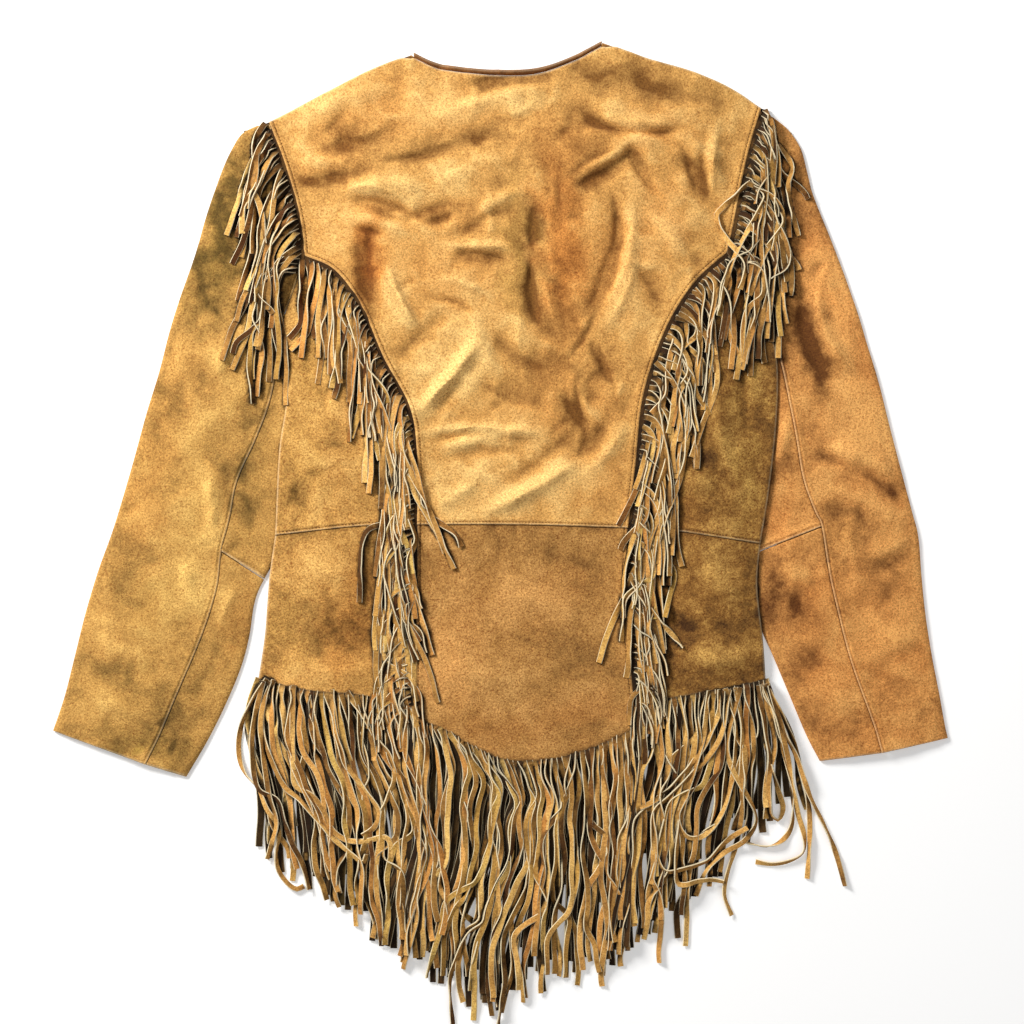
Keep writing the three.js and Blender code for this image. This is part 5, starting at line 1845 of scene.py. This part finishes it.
    def build_stitches(self) -> None:
        """Sews the seams."""
        runs = []
        for side, cut in CUTS.items():
            edge = joined(line(cut.armhole, 60), line(cut.princess, 90))
            runs.append(StitchRun(inset_line(edge, -3.4 * side.out)))
            runs.append(StitchRun(inset_line(line(cut.lower_princess, 60), -3.4 * side.out)))
            runs.append(StitchRun(line(cut.waist, 60) + np.array([0, 2.6])))
        runs.append(StitchRun(line(CENTER_WAIST, 80)[3:-3] + np.array([0, 2.6])))
        fresh = HeightMap()
        fresh.cast([p for n, p in self.shown.items() if "panel" in n])
        self.keep(stitch_piece("stitching", runs, fresh))

    def declare_sheets(self) -> None:
        """Logs each piece of cloth with sizes measured on its finished, creased mesh.

        They are not the cut's own sizes. A check of them against the mesh can't fail. Body panels come out as
        cut, and the under sleeves do not.
        """
        for name, piece in self.shown.items():
            if "panel" not in name:
                continue
            area = half_area(piece)
            wide, tall = flat_size(piece, area)
            LOG.info("%s flat %.3f x %.3f m, %.4f m2", name, wide, tall, area)


def half_area(piece: bpy.types.Object) -> float:
    """Half of a closed wall's surface, creases and edges included."""
    return sum(p.area for p in piece.data.polygons) / 2


def flat_size(piece: bpy.types.Object, area: float) -> tuple[float, float]:
    """Width and length from the piece's extent as it lies, the width reckoned from the area for a curled one."""
    co = np.zeros(len(piece.data.vertices) * 3)
    piece.data.vertices.foreach_get("co", co)
    co = co.reshape(-1, 3)
    width, length = np.ptp(co[:, 0]), np.ptp(co[:, 1])
    if area > 0.98 * width * length:
        width = area / (0.85 * length)
    return float(width), float(length)


# Strips that lie apart from the rest: their paths, roll in degrees and shade
HERO = tuple[tuple[tuple[float, float], ...], float, float]
HEM_HEROES: dict[Side, tuple[HERO, ...]] = {
    Side.LEFT: (
        (((-216, -141), (-226, -166), (-226, -190), (-206, -242), (-191, -255), (-174, -273), (-158, -292),
          (-139, -308), (-131, -314), (-128, -306)), 24, 0.35),
        (((-197, -146), (-198, -190), (-197, -221), (-195, -241), (-180, -250), (-169, -264), (-160, -283),
          (-148, -292), (-132, -294), (-109, -290), (-105, -297), (-105, -309)), -30, 0.5),
        (((-160, -150), (-156, -190), (-149, -218), (-137, -235), (-124, -252), (-116, -266), (-120, -280),
          (-132, -288)), 20, 0.4),
        (((-146, -152), (-138, -165), (-128, -179), (-117, -198), (-107, -210), (-101, -232), (-106, -248),
          (-113, -264)), 28, 0.45),
        (((-222, -140), (-236, -160), (-245, -178), (-250, -198), (-249, -218), (-243, -232), (-231, -244),
          (-222, -264), (-213, -277), (-211, -290), (-214, -305), (-213, -320), (-205, -334), (-195, -341),
          (-188, -338)), 35, 0.3),
        (((-225, -142), (-236, -190), (-230, -244), (-212, -255), (-205, -278), (-199, -296), (-191, -312),
          (-187, -324), (-183, -341)), 15, -0.5),
        (((-219, -142), (-228, -180), (-222, -240), (-213, -277), (-217, -294), (-223, -312)), 20, 0.1),
    ),
    Side.RIGHT: (
        (((206, -150), (206, -170), (196, -196), (188, -210), (170, -232), (152, -250), (140, -258), (131, -262)
         ), 30, 0.5),
        (((212, -149), (221, -176), (222, -202), (218, -237), (211, -262), (200, -281), (188, -290), (177, -290),
          (169, -281), (167, -268), (171, -259), (176, -249)), 28, 0.45),
        (((222, -148), (228, -189), (227, -237), (228, -268), (223, -300), (215, -325), (212, -347), (219, -366)
         ), 22, 0.3),
        (((216, -150), (205, -200), (160, -250), (145, -265), (143, -284), (147, -309), (155, -322), (176, -319),
          (195, -313), (211, -297), (233, -281)), 26, 0.35),
        (((243, -146), (250, -190), (254, -222), (253, -246), (257, -270), (263, -275), (268, -265), (263, -246),
          (255, -221)), 40, 0.1),
        (((246, -145), (262, -190), (274, -233), (276, -281), (268, -294), (255, -300), (239, -298), (228, -294)
         ), 75, 0.3),
        (((248, -145), (268, -200), (282, -268), (288, -290), (287, -306), (274, -314), (258, -317), (242, -315)
         ), 35, 0.45),
        (((250, -145), (276, -196), (287, -240), (293, -268), (293, -300), (291, -331)), 25, 0.1),
        (((253, -146), (267, -189), (280, -214), (293, -252), (306, -278), (317, -303), (322, -319), (327, -338)
         ), 30, 0.0),
        (((226, -148), (214, -210), (242, -276), (227, -297), (211, -306), (195, -322), (185, -347)), 25, 0.3),
        (((196, -151), (190, -200), (172, -262), (165, -322), (168, -335), (186, -332), (198, -331), (211, -333)
         ), 30, 0.35),
    ),
}
SEAM_HEROES: dict[Side, tuple[HERO, ...]] = {
    Side.LEFT: (
        (((-92, 108), (-96, 90), (-88, 60), (-72, 28), (-58, -6), (-45, -36)), 25, 0.4),
    ),
    Side.RIGHT: (
        (((122, -40), (128, -56), (142, -76), (158, -94), (172, -110)), 40, 0.6),
        (((146, 160), (156, 150), (168, 130), (176, 96), (172, 60), (158, 20), (148, -10)), 25, 0.4),
        (((168, 206), (184, 196), (200, 172), (204, 140), (190, 100), (180, 70)), -25, 0.45),
    ),
}
ARMHOLE_HEROES: dict[Side, tuple[HERO, ...]] = {
    Side.LEFT: (),
    Side.RIGHT: (
        (((236, 330), (231, 327), (209, 306), (204, 300), (206, 292), (215, 275), (224, 264), (231, 251), (229, 238),
          (226, 229)), 35, 0.5),
        (((233, 329), (243, 325), (249, 318), (246, 308), (224, 267), (214, 242), (206, 207)), 28, 0.45),
        (((238, 325), (252, 319), (262, 309), (267, 292), (253, 270), (243, 246), (235, 223)), 26, 0.4),
        (((262, 366), (276, 346), (272, 330), (274, 308), (282, 280)), 30, 0.2),
    ),
}


def hero_strips(rows: tuple[HERO, ...]) -> list[Strip]:
    """The strips of a table of heroes."""
    made = []
    for path, roll, shade in rows:
        points = line(path, max(20, int(length_of(np.array(path, float)) / 2.5)))
        s = np.linspace(0, 1, len(points))
        turn = np.radians(26 + roll) * np.sin(s * 9.0 + roll) + np.radians(14) * np.sin(s * 31.0)
        made.append(Strip(points, turn, STRIP_WIDTH * 0.92, shade - 0.25, 0.0, None))
    return made


@dataclass(frozen=True)
class Studio:
    """A pale floor, soft light and a camera straight above."""

    lens: float = 70.0
    view_width: float = 0.9728
    aim: tuple[float, float] = (0.010, 0.018)

    def build(self) -> None:
        """Makes the stage."""
        bpy.context.scene.view_settings.view_transform = "Standard"
        self.floor()
        self.world()
        self.lamp("key", (-1.5, 1.35, 1.25), 0.7, 76.0, (1.0, 0.985, 0.96))
        self.lamp("fill", (1.2, -0.6, 2.2), 2.4, 8.0, (0.96, 0.98, 1.0))
        self.camera()
        LOG.info("stage built")

    def floor(self) -> None:
        """The floor that the jacket lies on."""
        deselect()
        bpy.ops.mesh.primitive_plane_add(size=8.0, location=(0, 0, 0))
        plane = bpy.context.object
        plane.name = "floor"
        made = bpy.data.materials.new("pale_floor")
        made.use_nodes = True
        nodes, links = made.node_tree.nodes, made.node_tree.links
        shader = nodes["Principled BSDF"]
        shader.inputs["Roughness"].default_value = 0.9
        shader.inputs["Emission Color"].default_value = (1.0, 1.0, 1.0, 1.0)
        shader.inputs["Emission Strength"].default_value = 0.3
        noise = nodes.new("ShaderNodeTexNoise")
        noise.inputs["Scale"].default_value = 3.0
        blend = nodes.new("ShaderNodeMix")
        blend.data_type = "RGBA"
        colours = [s for s in blend.inputs if s.type == "RGBA"]
        colours[0].default_value = (0.90, 0.90, 0.90, 1)
        colours[1].default_value = (0.93, 0.93, 0.93, 1)
        where = nodes.new("ShaderNodeTexCoord")
        links.new(where.outputs["Object"], noise.inputs["Vector"])
        links.new(noise.outputs["Fac"], blend.inputs["Factor"])
        links.new(next(s for s in blend.outputs if s.type == "RGBA"), shader.inputs["Base Color"])
        plane.data.materials.append(made)

    def world(self) -> None:
        """Even light from all round."""
        world = bpy.data.worlds.new("studio")
        world.use_nodes = True
        back = world.node_tree.nodes["Background"]
        back.inputs["Color"].default_value = (1.0, 0.99, 0.98, 1.0)
        back.inputs["Strength"].default_value = 0.24
        bpy.context.scene.world = world

    def lamp(self, name: str, place: tuple[float, float, float], size: float, power: float,
             colour: tuple[float, float, float]) -> None:
        """A square lamp aimed at the jacket.

        Args:
            name: Its name.
            place: Where it is.
            size: The side of the square.
            power: Its power in watts.
            colour: Its colour.
        """
        light = bpy.data.lights.new(name, "AREA")
        light.shape, light.size, light.energy, light.color = "SQUARE", size, power, colour
        made = bpy.data.objects.new(name, light)
        made.location = place
        made.rotation_euler = (Vector((0, 0, 0)) - Vector(place)).to_track_quat("-Z", "Y").to_euler()
        bpy.context.scene.collection.objects.link(made)

    def camera(self) -> None:
        """The camera, straight above."""
        data = bpy.data.cameras.new("camera")
        data.lens = self.lens
        data.sensor_width = 36.0
        data.clip_start, data.clip_end = 0.05, 20.0
        made = bpy.data.objects.new("camera", data)
        made.location = (*self.aim, self.view_width * self.lens / 36.0 + 0.006)
        bpy.context.scene.collection.objects.link(made)
        bpy.context.scene.camera = made


def main() -> None:
    """Builds the jacket, its stage, light and camera."""
    logging.basicConfig(level=logging.INFO, format="%(name)s %(message)s")
    jacket = Jacket()
    jacket.build_cloth()
    LOG.info("cloth done")
    jacket.build_fringe()
    jacket.settle_painted_shade()
    jacket.build_stitches()
    jacket.declare_sheets()
    Studio().build()


if __name__ == "__main__":
    main()
